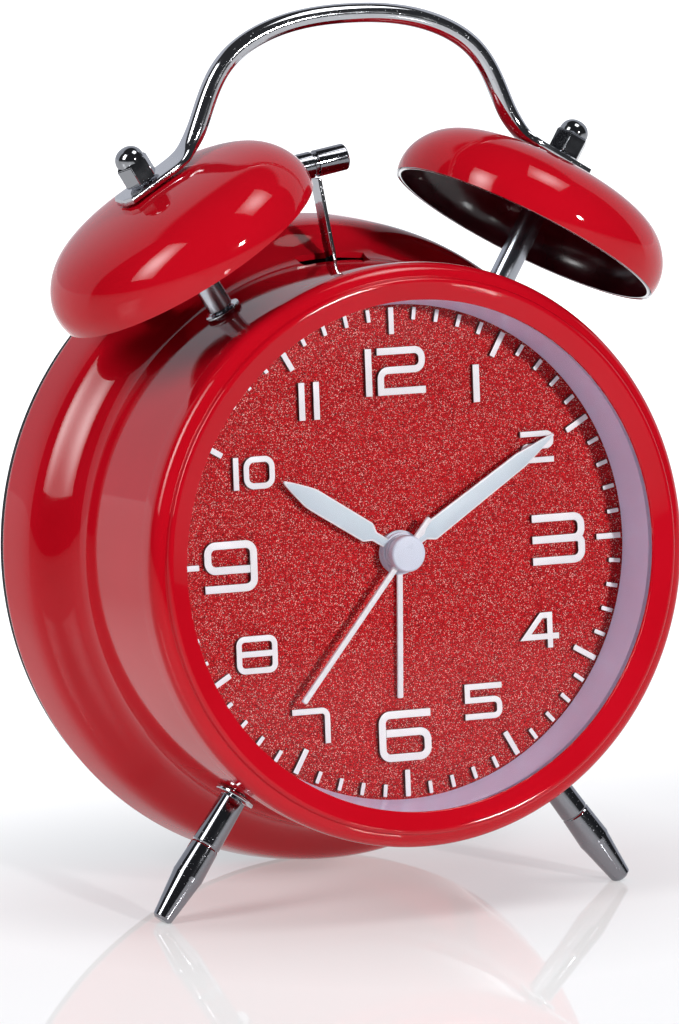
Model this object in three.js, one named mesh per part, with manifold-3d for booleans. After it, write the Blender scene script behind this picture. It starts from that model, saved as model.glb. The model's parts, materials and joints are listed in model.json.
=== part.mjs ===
// Twin-bell quartz alarm clock, in millimetres, +Z up, front towards -Y.
// The clock is drawn upright on its dial axis (dial centre at the origin, dial face at Y = 0,
// Z towards 12 o'clock), then leaned back onto its two feet and the bottom of its rear rim.
import * as THREE from 'three';
import { mergeVertices } from 'three/addons/utils/BufferGeometryUtils.js';
import Module from 'manifold-3d';

const wasm = await Module();
wasm.setup();

// ---- Driving dimensions ----
const LEAN = THREE.MathUtils.degToRad(7.6); // how far the dial leans back
const GAP = 0.3; // clearance between touching pieces
const ROUND = 40; // segments round the large turned parts
const SMALL_ROUND = 12; // segments round the small turned parts

const DRUM_R = 50.1; // case drum, outside
const RIM_R = 57.6; // rear rim, outside
const DRUM_FRONT_Y = -6.6;
const CREASE_Y = 21; // where the straight drum meets the flare
const RIM_EDGE_Y = 40.2; // where the rim starts to curl over
const RIM_BACK_Y = 42;
const SHEET = 1; // wall of the case
const BEZEL_R = 50.9;
const BEZEL_BACK_Y = -4.5;
const OPENING_R = 44.5; // window in the bezel
const LENS_Y = -9.5; // front face of the lens
const LENS_T = 1.2;
const DIAL_R = 45.5;
const DIAL_T = 1;
const DIAL_HOLE_R = 3.2;

const BELL_ANGLE = THREE.MathUtils.degToRad(31.2); // bell axis from 12 o'clock
const BELL_Y = 12.2;
const BELL_RIM_R = 25;
const BELL_BASE = 62.2; // from the dial axis to the bell's rim
const BELL_HEIGHT = 13.8;
const BELL_WALL = 1;
const POST_R = 2.3;
const STUD_R = 1.5; // M3 thread
const NUT_FLATS = 5.5; // M3 nut across its flats
const STRAP_T = 1.4; // flattened end of the handle
const STRAP_W = 7.4;
const HANDLE_R = 1.8;
const HANDLE_TOP_Z = 93.7; // centre of the rod at its highest

const FOOT_ANGLE = THREE.MathUtils.degToRad(35.9); // foot axis from 6 o'clock
const FOOT_Y = 7;
const FOOT_R = 2.85; // at its shoulder; the upper part is slimmer
const FOOT_END = 75.9; // from the dial axis to the end of the foot, before its sole is cut

const MOVEMENT = { halfX: 27, halfZ: 25, front: 2.2, split: 9.5, back: 17.2, wall: 1.2 };
const COVER_Y = 42.3; // inner face of the back cover's plate
const COVER_T = 1.6;
const COVER_R = 56.8;
const WELL = { halfX: 29.5, top: -9.5, bottom: -41.5, front: 26, wall: 1.2 };
const CELL_R = 7; // AA cell
const CELL_LENGTH = 49.2;
const CELL_Z = { upper: -17.9, lower: -33.1 };
const CELL_Y = 34.6;
const DOOR_T = 1.4;
const DOOR_HALF_X = 27.6;
const DOOR_TOP = -10.2;
const DOOR_PIVOT = { y: COVER_Y + 0.2 + DOOR_T / 2, z: -40.3 };

const HAMMER_Y = 22;
const HAMMER_PIVOT_Z = 46;
const HAMMER_TILT = THREE.MathUtils.degToRad(-9.5); // at rest it leans to the left bell
const HAMMER_REACH = 21.4; // from the pivot to the middle of the head
const MOTOR_Z = 34;
const MOTOR_R = 7.4;

// Gear train: axes in the plane of the dial, and each wheel's level behind it.
const WHEEL_T = 0.7;
const polar = (radius, degrees) => {
  const angle = THREE.MathUtils.degToRad(degrees);
  return { x: radius * Math.cos(angle), z: radius * Math.sin(angle) };
};
const offset = (from, radius, degrees) => {
  const step = polar(radius, degrees);
  return { x: from.x + step.x, z: from.z + step.z };
};
const TRAIN_MODULE = 0.6;
const THIRD_MODULE = 0.5;
const THIRD_DISTANCE = THIRD_MODULE * (6 + 48) / 2;
const MINUTE_MODULE = THIRD_DISTANCE * 2 / (6 + 45);
const MOTION_DISTANCE = TRAIN_MODULE * (8 + 24) / 2;
const HOUR_MODULE = MOTION_DISTANCE * 2 / (8 + 32);
const ALARM_MODULE = 0.7;
const CENTRE = { x: 0, z: 0 };
const STEP_AXIS = polar(TRAIN_MODULE * (6 + 36) / 2, 210);
const ROTOR_AXIS = offset(STEP_AXIS, TRAIN_MODULE * (6 + 30) / 2, 250);
const THIRD_AXIS = polar(THIRD_DISTANCE, -40);
const MOTION_AXIS = polar(MOTION_DISTANCE, 55);
const TIME_AXIS = offset(MOTION_AXIS, TRAIN_MODULE * (8 + 24) / 2, 10);
const ALARM_AXIS = polar(ALARM_MODULE * (10 + 30) / 2, 140);
const LEVEL = { alarm: 3.9, hour: 5.6, motion: 7.6, minute: 9.6, third: 11.4, second: 13.2, step: 14.6 };

// ---- Materials ----
const finish = (color, roughness, metalness = 0) =>
  new THREE.MeshStandardMaterial({ color, roughness, metalness });
const RED_PAINT = finish(0xc8101c, 0.15);
const DARK_RED = finish(0x5a0a10, 0.4);
const CHROME = finish(0xd8dadd, 0.08, 1);
const STEEL = finish(0x9a9da2, 0.3, 1);
const BLACK = finish(0x16171a, 0.5);
const LAVENDER = finish(0xb9abc8, 0.35);
const GLITTER = finish(0xb3202a, 0.4);
const PALE_BLUE = finish(0xdbe7ee, 0.35);
const WHITE = finish(0xf2f2f4, 0.35);
const GLASS = new THREE.MeshStandardMaterial({ color: 0xffffff, roughness: 0.02, opacity: 0.2, transparent: true });
const CREAM = finish(0xe6e0d0, 0.5);
const COPPER = finish(0xb5652f, 0.3, 1);
const BRASS = finish(0xc9a24a, 0.3, 1);
const BOARD = finish(0x1f6b3a, 0.5);
const CELL = finish(0x2b4f86, 0.35);

// ---- Geometry helpers ----
const points = (list) => list.map(([x, y]) => new THREE.Vector2(x, y));

// A turned piece on the Y axis, from [radius, y] pairs; on the Z axis with turned().
const dished = (profile, segments = ROUND) => new THREE.LatheGeometry(points(profile), segments);
const turned = (profile, segments = SMALL_ROUND) => dished(profile, segments).rotateX(Math.PI / 2);

const ring = (inner, outer, low, high) =>
  [[inner, low], [outer, low], [outer, high], [inner, high], [inner, low]];
const disc = (radius, low, high) => [[0, low], [radius, low], [radius, high], [0, high]];

function block(x0, x1, y0, y1, z0, z1) {
  const geometry = new THREE.BoxGeometry(x1 - x0, y1 - y0, z1 - z0);
  return geometry.translate((x0 + x1) / 2, (y0 + y1) / 2, (z0 + z1) / 2);
}

// A flat outline in X and Z, thick from y0 to y1.
function plate(outline, y0, y1, holes = []) {
  const shape = new THREE.Shape(points(outline));
  shape.holes = holes.map((hole) => new THREE.Path(points(hole)));
  const geometry = new THREE.ExtrudeGeometry(shape, { depth: y1 - y0, bevelEnabled: false, steps: 1 });
  return geometry.rotateX(Math.PI / 2).translate(0, y1, 0);
}

const circle = (radius, count, centre = CENTRE) =>
  Array.from({ length: count }, (_, index) => {
    const angle = 2 * Math.PI * index / count;
    return [centre.x + radius * Math.cos(angle), centre.z + radius * Math.sin(angle)];
  });

function manifold(geometry) {
  const plain = geometry.clone();
  plain.deleteAttribute('normal');
  plain.deleteAttribute('uv');
  const merged = mergeVertices(plain, 1e-4);
  const vertProperties = new Float32Array(merged.attributes.position.array);
  const triVerts = new Uint32Array(merged.index.array);
  return new wasm.Manifold(new wasm.Mesh({ numProp: 3, vertProperties, triVerts }));
}

function toGeometry(solid) {
  const { vertProperties, triVerts } = solid.getMesh();
  const geometry = new THREE.BufferGeometry();
  geometry.setAttribute('position', new THREE.BufferAttribute(vertProperties, 3));
  geometry.setIndex(new THREE.BufferAttribute(triVerts, 1));
  geometry.computeVertexNormals();
  return geometry;
}

const joined = (first, ...others) =>
  toGeometry(others.reduce((solid, other) => solid.add(manifold(other)), manifold(first)));
const cut = (body, ...tools) =>
  toGeometry(tools.reduce((solid, tool) => solid.subtract(manifold(tool)), manifold(body)));

// A toothed wheel on the Y axis: pointed teeth with flat roots, turned by phase (in teeth).
function gear(teeth, module, y0, y1, { phase = 0, bore = 0 } = {}) {
  const tip = module * (teeth / 2 + 0.75);
  const root = module * (teeth / 2 - 0.95);
  const outline = [];
  for (let tooth = 0; tooth < teeth; tooth += 1) {
    for (const [radius, shift] of [[root, -0.27], [tip, 0], [root, 0.27]]) {
      const angle = 2 * Math.PI * (tooth + phase + shift) / teeth;
      outline.push([radius * Math.cos(angle), radius * Math.sin(angle)]);
    }
  }
  const holes = bore > 0 ? [circle(bore, SMALL_ROUND)] : [];
  return plate(outline, y0, y1, holes);
}

// The phase that lets a gear's gap meet the tooth of its driver along the line between them.
function meshPhase(teeth, driverTeeth, driverPhase, degrees) {
  const turn = degrees / 360;
  const atDriver = turn * driverTeeth - driverPhase;
  return (turn + 0.5) * teeth - (0.5 - atDriver);
}

const clock = new THREE.Group();

function add(name, geometry, material, parent = clock) {
  const mesh = new THREE.Mesh(geometry, material);
  mesh.name = name;
  parent.add(mesh);
  return mesh;
}

// A group whose +Z runs outwards from the dial axis; angle is measured from 12 o'clock to the right.
function radialGroup(angle, y) {
  const group = new THREE.Group();
  group.rotation.y = angle;
  group.position.y = y;
  clock.add(group);
  return group;
}

// ---- Case ----
// A straight drum, a crease, an S-shaped flare and a rim that is nearly straight again.
function caseProfile() {
  const outside = [
    [DRUM_R, DRUM_FRONT_Y], [DRUM_R, CREASE_Y], [50.6, 23], [51.9, 25.4], [54.4, 28], [56, 29.7], [56.8, 31.8],
    [57.2, 34.6], [RIM_R, RIM_EDGE_Y - 0.6], [RIM_R, RIM_EDGE_Y], [RIM_R - 0.5, 41.4], [RIM_R - 1.4, RIM_BACK_Y],
  ];
  const inside = outside.map(([radius, y]) => [radius - SHEET, y]).reverse();
  inside[0][1] = RIM_BACK_Y - 0.4;
  return [...outside, ...inside, outside[0]];
}

function radialHole(angle, y, radius, z0, z1) {
  const hole = turned(disc(radius, z0, z1));
  return hole.rotateY(angle).translate(0, y, 0);
}

const SIDES = { left: -1, right: 1 };
const studHoles = Object.values(SIDES).flatMap((side) => [
  radialHole(side * BELL_ANGLE, BELL_Y, STUD_R + 0.2, 45, 53),
  radialHole(Math.PI - side * FOOT_ANGLE, FOOT_Y, STUD_R + 0.2, 45, 53),
]);
const hammerSlot = block(-6.8, 6.8, HAMMER_Y - 2.6, HAMMER_Y + 2.6, 44, 56);
add('case_shell', cut(dished(caseProfile()), ...studHoles, hammerSlot), RED_PAINT);

const bezelProfile = [
  [50.4, BEZEL_BACK_Y], [50.7, BEZEL_BACK_Y - 0.2], [BEZEL_R, -6.2], [50.8, -7.8], [50.2, -9.2],
  [49, -10.2], [48.5, -10.4], [48.1, -11.1], [47.5, -11.5], [46.8, -11.4], [OPENING_R, -10.5],
  [OPENING_R, -9.8], [47.1, -10.2], [48.5, -9.4], [49.9, -8.4], [50.4, -7.2],
];
add('front_bezel', dished([...bezelProfile, bezelProfile[0]].reverse()), RED_PAINT);
add('lens', dished(disc(46.4, LENS_Y, LENS_Y + LENS_T)), GLASS);

const ringProfile = [
  [44.7, -8], [43.2, -GAP], [45, -GAP], [46, -1.2], [46.6, -6], [48.2, -6.6], [48.2, -8],
];
add('dial_ring', dished([...ringProfile, ringProfile[0]].reverse()), LAVENDER);
add('dial_plate', dished(ring(DIAL_HOLE_R, DIAL_R, 0, DIAL_T)), GLITTER);

// ---- Bells, posts, handle ----
const bellOutside = [
  [BELL_RIM_R, 0], [25.3, 1.8], [25.2, 3.6], [24.5, 5.6], [23, 8], [20.7, 10.2], [17.3, 11.7],
  [13, 12.8], [8, 13.5], [3, BELL_HEIGHT],
];
// The inside follows the outside, one wall further in, and the hole takes the stud.
function bellProfile() {
  const inside = bellOutside.map(([radius, height], index) => {
    const slope = index / (bellOutside.length - 1);
    return [Math.max(radius - BELL_WALL * (1 - slope ** 2), 1.8), height - BELL_WALL * slope];
  }).reverse();
  const outside = [...bellOutside.slice(0, -1), [1.8, BELL_HEIGHT]];
  inside[0] = [1.8, BELL_HEIGHT - BELL_WALL];
  inside[inside.length - 1] = [BELL_RIM_R - BELL_WALL, 0];
  return [...outside, ...inside, outside[0]].map(([radius, height]) => [radius, BELL_BASE + height]);
}

const BELL_TOP = BELL_BASE + BELL_HEIGHT;
const STRAP_BOTTOM = BELL_TOP + GAP;
const NUT_BASE = STRAP_BOTTOM + STRAP_T + GAP;
const NUT_TOP = NUT_BASE + 6.6;
const STUD_END = NUT_BASE + 3.8;

const postProfile = [
  [0, 44.5], [STUD_R, 44.5], [STUD_R, DRUM_R + 1.1], [POST_R, DRUM_R + 1.1],
  [POST_R, BELL_TOP - BELL_WALL - GAP], [STUD_R, BELL_TOP - BELL_WALL - GAP], [STUD_R, STUD_END], [0, STUD_END],
];

function hexagon(z0, z1) {
  const geometry = new THREE.CylinderGeometry(NUT_FLATS / Math.sqrt(3), NUT_FLATS / Math.sqrt(3), z1 - z0, 6);
  return geometry.rotateX(Math.PI / 2).translate(0, 0, (z0 + z1) / 2);
}

function capNut() {
  const dome = turned([
    [0, NUT_BASE + 3], [2.6, NUT_BASE + 3], [2.6, NUT_BASE + 4.4], [2.3, NUT_BASE + 5.4], [1.5, NUT_BASE + 6.2],
    [0, NUT_TOP],
  ]);
  const thread = turned(disc(STUD_R + 0.15, NUT_BASE - 1, STUD_END + GAP));
  return cut(joined(hexagon(NUT_BASE, NUT_BASE + 4), dome), thread);
}

function plainNut(z0, z1) {
  return cut(hexagon(z0, z1), turned(disc(STUD_R + 0.15, z0 - 1, z1 + 1)));
}

for (const [name, side] of Object.entries(SIDES)) {
  const group = radialGroup(side * BELL_ANGLE, BELL_Y);
  add(`bell_${name}`, turned(bellProfile(), 28), RED_PAINT, group);
  add(`bell_post_${name}`, turned(postProfile), CHROME, group);
  add(`post_washer_${name}`, turned(ring(1.8, 3.3, DRUM_R + GAP, DRUM_R + 0.8)), CHROME, group);
  add(`post_nut_${name}`, plainNut(45, DRUM_R - SHEET - 0.6), STEEL, group);
  add(`cap_nut_${name}`, capNut(), CHROME, group);
}

// The handle: a round rod bent into an arch in the plane Y = BELL_Y, flattened where it lies on the bells.
function handle() {
  const along = new THREE.Vector2(Math.cos(BELL_ANGLE), -Math.sin(BELL_ANGLE)); // outwards on the right bell
  const seat = STRAP_BOTTOM + STRAP_T / 2;
  const onBell = (distance, lift = 0) => new THREE.Vector3(
    (seat + lift) * Math.sin(BELL_ANGLE) + along.x * distance, BELL_Y,
    (seat + lift) * Math.cos(BELL_ANGLE) + along.y * distance);
  const right = [
    [6, 93.5], [12, 92.5], [17.5, 90.7], [22, 88.1], [25.2, 84.8], [27.2, 80.8], [28.7, 77.2], [30.1, 73.8],
  ].map(([x, z]) => new THREE.Vector3(x, BELL_Y, z));
  right.push(onBell(-9.4, 0.4), onBell(-7.4, 0));
  const left = right.map((point) => new THREE.Vector3(-point.x, point.y, point.z)).reverse();
  const path = new THREE.CatmullRomCurve3([...left, new THREE.Vector3(0, BELL_Y, HANDLE_TOP_Z), ...right]);
  const rod = new THREE.ExtrudeGeometry(new THREE.Shape(points(circle(HANDLE_R, 8))), { steps: 36, extrudePath: path });
  const strap = (side) => {
    const half = STRAP_W / 2;
    const end = 5.6;
    const outline = [[-9, -half + 1], [-7, -half], [end - 1.6, -half], [end, -1.6], [end, 1.6],
      [end - 1.6, half], [-7, half], [-9, half - 1]];
    const shape = new THREE.Shape(points(outline.map(([x, y]) => [side * x, y])));
    shape.holes.push(new THREE.Path(points(circle(STUD_R + 0.2, SMALL_ROUND))));
    const geometry = new THREE.ExtrudeGeometry(shape, { depth: STRAP_T, bevelEnabled: false });
    return geometry.translate(0, 0, STRAP_BOTTOM).rotateY(side * BELL_ANGLE).translate(0, BELL_Y, 0);
  };
  const clear = (side) => radialHole(side * BELL_ANGLE, BELL_Y, BELL_RIM_R, BELL_TOP - 6, STRAP_BOTTOM);
  return cut(joined(rod, strap(1), strap(-1)), clear(1), clear(-1));
}
add('handle', handle(), CHROME);

// ---- Feet ----
const rimPoint = [RIM_R, RIM_EDGE_Y];
const FLOOR_DEPTH = rimPoint[0] * Math.cos(LEAN) + rimPoint[1] * Math.sin(LEAN); // dial centre above the floor
const footProfile = [
  [0, 44.5], [STUD_R, 44.5], [STUD_R, DRUM_R + 1.2], [2.4, DRUM_R + 1.2], [2.6, 60.6], [2.4, 60.8],
  [2.6, 61], [FOOT_R, 66.9], [2.7, 67.6], [1.8, FOOT_END - 0.4], [1.3, FOOT_END], [0, FOOT_END],
];

// A foot stands in the leaned clock, so its sole is cut by a level plane in the clock's own frame.
function foot(side) {
  const whole = turned(footProfile).rotateY(Math.PI - side * FOOT_ANGLE).translate(0, FOOT_Y, 0);
  const below = block(-90, 90, -90, 90, -60, 0).translate(0, 0, -FLOOR_DEPTH).rotateX(LEAN);
  return cut(whole, below);
}

for (const [name, side] of Object.entries(SIDES)) {
  add(`foot_${name}`, foot(side), CHROME);
  const group = radialGroup(Math.PI - side * FOOT_ANGLE, FOOT_Y);
  add(`foot_washer_${name}`, turned(ring(1.8, 3.7, DRUM_R + GAP, DRUM_R + 0.9)), CHROME, group);
  add(`foot_nut_${name}`, plainNut(45, DRUM_R - SHEET - 0.6), STEEL, group);
}

// ---- Quartz movement ----
function tray(y0, y1, open) {
  const { halfX, halfZ, wall } = MOVEMENT;
  const inner0 = open === 'back' ? y0 + wall : y0 - 1;
  const inner1 = open === 'back' ? y1 + 1 : y1 - wall;
  return [
    block(-halfX, halfX, y0, y1, -halfZ, halfZ),
    block(-halfX + wall, halfX - wall, inner0, inner1, -halfZ + wall, halfZ - wall),
  ];
}

const hole = (radius, axis, y0, y1, segments = SMALL_ROUND) =>
  dished(disc(radius, y0, y1), segments).translate(axis.x, 0, axis.z);

const SHAFT_R = 1.1;
add('movement_front', cut(...tray(MOVEMENT.front, MOVEMENT.split - GAP, 'back'), hole(3, CENTRE, 0, 5)), CREAM);
add('movement_rear', cut(...tray(MOVEMENT.split, MOVEMENT.back, 'front'),
  hole(SHAFT_R + 0.3, TIME_AXIS, 15, 18), hole(SHAFT_R + 0.3, ALARM_AXIS, 15, 18)), CREAM);

// Gears turn on the Y axis at the given place in the plane of the dial.
function wheel(name, axis, material, ...pieces) {
  const mesh = add(name, joined(...pieces), material);
  mesh.position.set(axis.x, 0, axis.z);
  return mesh;
}
const arbor = (radius, y0, y1) => dished(disc(radius, y0, y1), 12);
const tube = (inner, outer, y0, y1) => dished(ring(inner, outer, y0, y1), SMALL_ROUND);
const degreesTo = (from, to) => THREE.MathUtils.radToDeg(Math.atan2(to.z - from.z, to.x - from.x));

wheel('second_wheel', CENTRE, WHITE,
  gear(36, TRAIN_MODULE, LEVEL.second, LEVEL.second + WHEEL_T),
  gear(6, THIRD_MODULE, LEVEL.third - 0.3, LEVEL.second + 0.1),
  arbor(0.5, -3.4, 15.6));

const stepPinionPhase = meshPhase(6, 36, 0, degreesTo(CENTRE, STEP_AXIS));
wheel('step_wheel', STEP_AXIS, WHITE,
  gear(30, TRAIN_MODULE, LEVEL.step, LEVEL.step + WHEEL_T),
  gear(6, TRAIN_MODULE, LEVEL.second - 0.2, LEVEL.step + 0.1, { phase: stepPinionPhase }),
  arbor(0.5, 12.4, 15.7));
wheel('rotor', ROTOR_AXIS, STEEL,
  gear(6, TRAIN_MODULE, LEVEL.step - 0.3, 15.5, { phase: meshPhase(6, 30, 0, degreesTo(STEP_AXIS, ROTOR_AXIS)) }),
  arbor(0.5, 6.6, 15.7),
  arbor(2.2, 7, 9.6));
const thirdWheelPhase = meshPhase(48, 6, 0, degreesTo(CENTRE, THIRD_AXIS));
wheel('third_wheel', THIRD_AXIS, WHITE,
  gear(48, THIRD_MODULE, LEVEL.third, LEVEL.third + WHEEL_T, { phase: thirdWheelPhase }),
  gear(6, MINUTE_MODULE, LEVEL.minute - 0.3, LEVEL.third + 0.1),
  arbor(0.5, 9, 12.6));
const centreWheelPhase = meshPhase(45, 6, 0, degreesTo(THIRD_AXIS, CENTRE));
// The centre wheel slips on the minute pinion's tube when the clock is set.
wheel('centre_wheel', CENTRE, BRASS,
  gear(45, MINUTE_MODULE, LEVEL.minute, LEVEL.minute + WHEEL_T, { phase: centreWheelPhase, bore: 1.4 }));
wheel('minute_pinion', CENTRE, BRASS,
  gear(8, TRAIN_MODULE, LEVEL.motion - 0.3, LEVEL.minute - GAP, { bore: 0.7 }),
  tube(0.7, 1.15, -2.6, LEVEL.minute + WHEEL_T + 0.4));
const motionWheelPhase = meshPhase(24, 8, 0, degreesTo(CENTRE, MOTION_AXIS));
wheel('motion_wheel', MOTION_AXIS, WHITE,
  gear(24, TRAIN_MODULE, LEVEL.motion, LEVEL.motion + WHEEL_T, { phase: motionWheelPhase }),
  gear(8, HOUR_MODULE, LEVEL.hour - 0.3, LEVEL.motion + 0.1),
  arbor(0.5, 5, 9.1));
wheel('hour_wheel', CENTRE, WHITE,
  gear(32, HOUR_MODULE, LEVEL.hour, LEVEL.hour + WHEEL_T,
    { phase: meshPhase(32, 8, 0, degreesTo(MOTION_AXIS, CENTRE)), bore: 1.3 }),
  tube(1.3, 1.85, -1.8, 6.8));
wheel('alarm_wheel', CENTRE, WHITE,
  gear(30, ALARM_MODULE, LEVEL.alarm, LEVEL.alarm + WHEEL_T, { bore: 2 }),
  tube(2, 2.6, -1, 4.9));

const stator = plate([[-24, -20.6], [-8, -20.6], [-8, -18.1], [16, -18.1], [16, -15.9], [-8, -15.9], [-8, -13.4],
  [-24, -13.4]], 7.4, 9, [circle(2.8, SMALL_ROUND, ROTOR_AXIS)]);
add('stator', stator, STEEL);
add('drive_coil', dished(ring(1.9, 2.7, -7.4, 14.6), 20).rotateZ(-Math.PI / 2).translate(0, 8.2, -17), COPPER);

const chip = block(-20, -14, 18, 19.8, -20, -14);
const crystal = block(-9, -3, 18, 20.2, -18, -16);
add('circuit_board', joined(block(-26, 2, 17.5, 18.7, -24.5, -8), chip, crystal), BOARD);
const lamp = dished([[0, DIAL_T + GAP], [1, DIAL_T + 0.5], [1.5, DIAL_T + 1.2], [1.5, 6], [0, 6]], SMALL_ROUND);
add('dial_lamp', lamp, WHITE).position.x = 41;

// ---- Hands, from the dial forwards: alarm, hour, minute, second ----
// A hand points along its own +Z; turn is clockwise from 12 o'clock as seen from the front.
// The bore goes right through, unless a cap closes it: then the hub reaches forward to the cap's face.
function hand(name, turn, hub, bore, y0, y1, outline, material, capFace) {
  const blade = plate(outline, y0, y1 - 0.05);
  const boss = dished(disc(hub, capFace ?? y0 - 0.1, y1), 20);
  const boreFront = capFace === undefined ? y0 - 1 : y0 + 0.1;
  add(name, cut(joined(blade, boss), arbor(bore, boreFront, y1 + 1)), material)
    .rotation.y = THREE.MathUtils.degToRad(turn);
}
// A blade with a slim neck, shoulders, and a long point; halves are its half widths.
const leaf = (neck, shoulder, halfIn, taper, halfOut, tip) => [
  [-neck, 0], [neck, 0], [neck, shoulder - 0.9], [halfIn, shoulder], [halfOut, taper],
  [halfOut * 0.6, (taper + 1.4 * tip) / 2.4], [0, tip], [-halfOut * 0.6, (taper + 1.4 * tip) / 2.4],
  [-halfOut, taper], [-halfIn, shoulder], [-neck, shoulder - 0.9],
];
const bar = (half, tail, tip) => [[-half, -tail], [half, -tail], [half, tip], [-half, tip]];
const HAND_TURN = { hour: 302.3, minute: 57.7, second: 219.7, alarm: 182 };
hand('alarm_hand', HAND_TURN.alarm, 3.9, 2.65, -1, -0.5, bar(0.55, 0, 25.5), PALE_BLUE);
hand('hour_hand', HAND_TURN.hour, 3.6, 1.9, -1.8, -1.3, leaf(0.8, 7.1, 1.8, 20, 1.85, 25.9), PALE_BLUE);
hand('minute_hand', HAND_TURN.minute, 3.3, 1.2, -2.6, -2.1, leaf(0.6, 6, 1.75, 27.5, 1.43, 35.1), PALE_BLUE);
hand('second_hand', HAND_TURN.second, 3.2, 0.6, -3.6, -2.9, bar(0.5, 7.6, 32), WHITE, -4.8);

// ---- Setting knobs, switch, light button ----
const COVER_BACK = COVER_Y + COVER_T;
function knob(radius) {
  const ridges = 12;
  const outline = Array.from({ length: ridges * 2 }, (_, index) => {
    const angle = Math.PI * index / ridges;
    const reach = index % 2 ? radius : radius - 0.5;
    return [reach * Math.cos(angle), reach * Math.sin(angle)];
  });
  return plate(outline, COVER_BACK + 0.5, COVER_BACK + 5.2);
}
const timePinionPhase = meshPhase(8, 24, motionWheelPhase, degreesTo(MOTION_AXIS, TIME_AXIS));
wheel('time_set_knob', TIME_AXIS, BLACK, knob(6.5), arbor(SHAFT_R, 6.9, COVER_BACK + 1),
  gear(8, TRAIN_MODULE, LEVEL.motion - 0.2, LEVEL.motion + 1, { phase: timePinionPhase }));
wheel('alarm_set_knob', ALARM_AXIS, BLACK, knob(6.5), arbor(SHAFT_R, 3.6, COVER_BACK + 1),
  gear(10, ALARM_MODULE, LEVEL.alarm - 0.2, LEVEL.alarm + 1,
    { phase: meshPhase(10, 30, 0, degreesTo(CENTRE, ALARM_AXIS)) }));

const SWITCH = { x: -34, z: 24, travel: 4 };
add('alarm_switch', joined(block(-1.6, 1.6, COVER_Y - 2, COVER_BACK + 2.4, -1.3, 1.3),
  block(-2.6, 2.6, COVER_Y - 3, COVER_Y - GAP, -2.6, 2.6)), BLACK).position.set(SWITCH.x, 0, SWITCH.z);
const LIGHT = { x: 34, z: 24, r: 4.2 };
add('light_button', dished([[0, COVER_Y - 3], [LIGHT.r + 1, COVER_Y - 3], [LIGHT.r + 1, COVER_Y - GAP],
  [LIGHT.r, COVER_Y - GAP], [LIGHT.r, COVER_BACK + 1.6], [LIGHT.r - 0.6, COVER_BACK + 2], [0, COVER_BACK + 2]],
24), BLACK).position.set(LIGHT.x, 0, LIGHT.z);

// ---- Back cover, battery bay ----
const SCREWS = [90, 205, 335].map((degrees) => polar(51.5, degrees));
const switchSlot = block(SWITCH.x - 1.6 - 0.4, SWITCH.x + 1.6 + 0.4 + SWITCH.travel, COVER_Y - 2, COVER_BACK + 1,
  SWITCH.z - 1.7, SWITCH.z + 1.7);
const wellOutside = block(-WELL.halfX, WELL.halfX, WELL.front, COVER_Y + 0.5, WELL.bottom, WELL.top);
const wellInside = block(-WELL.halfX + WELL.wall, WELL.halfX - WELL.wall, WELL.front + WELL.wall, COVER_BACK + 1,
  WELL.bottom + WELL.wall, WELL.top - WELL.wall);
const doorRecess = block(-DOOR_HALF_X - GAP, DOOR_HALF_X + GAP, COVER_Y - 0.1, COVER_BACK + 1,
  DOOR_PIVOT.z - DOOR_T / 2 - GAP, DOOR_TOP + GAP);
const coverPlate = dished([[0, COVER_Y], [COVER_R - 1.8, COVER_Y], [COVER_R, COVER_Y + 0.1], [COVER_R, COVER_BACK - 0.5],
  [COVER_R - 0.6, COVER_BACK], [0, COVER_BACK]]);
add('back_cover', cut(
  joined(coverPlate, dished(ring(53.8, 54.9, 38, COVER_Y + 0.3)), wellOutside),
  wellInside,
  doorRecess,
  hole(SHAFT_R + 0.3, TIME_AXIS, 41, 46),
  hole(SHAFT_R + 0.3, ALARM_AXIS, 41, 46),
  hole(LIGHT.r + 0.3, LIGHT, 41, 46, 24),
  switchSlot,
  ...SCREWS.map((place) => hole(1.6, place, 41, 46)),
), BLACK);

SCREWS.forEach((place, index) => {
  const screw = joined(arbor(1.2, 35.5, COVER_BACK + 1), dished([[0, COVER_BACK + GAP], [2.7, COVER_BACK + GAP],
    [2.4, COVER_BACK + 1.3], [0, COVER_BACK + 1.8]], SMALL_ROUND));
  const slot = block(-0.35, 0.35, COVER_BACK + 1, COVER_BACK + 3, -2, 2);
  add(`cover_screw_${index + 1}`, cut(screw, slot), STEEL).position.set(place.x, 0, place.z);
});

// The door turns on the rounded edge at its foot, so its outline is drawn in Y and Z and extruded along X.
function batteryDoor() {
  const half = DOOR_T / 2;
  const shape = new THREE.Shape();
  shape.moveTo(-half, 0);
  shape.absarc(0, 0, half, Math.PI, 2 * Math.PI, false);
  shape.lineTo(half, DOOR_TOP - DOOR_PIVOT.z);
  shape.lineTo(-half, DOOR_TOP - DOOR_PIVOT.z);
  const geometry = new THREE.ExtrudeGeometry(shape, { depth: 2 * DOOR_HALF_X, bevelEnabled: false, curveSegments: 8 });
  return geometry.rotateY(Math.PI / 2).rotateX(Math.PI / 2).translate(-DOOR_HALF_X, 0, 0);
}
add('battery_door', batteryDoor(), BLACK).position.set(0, DOOR_PIVOT.y, DOOR_PIVOT.z);

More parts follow.
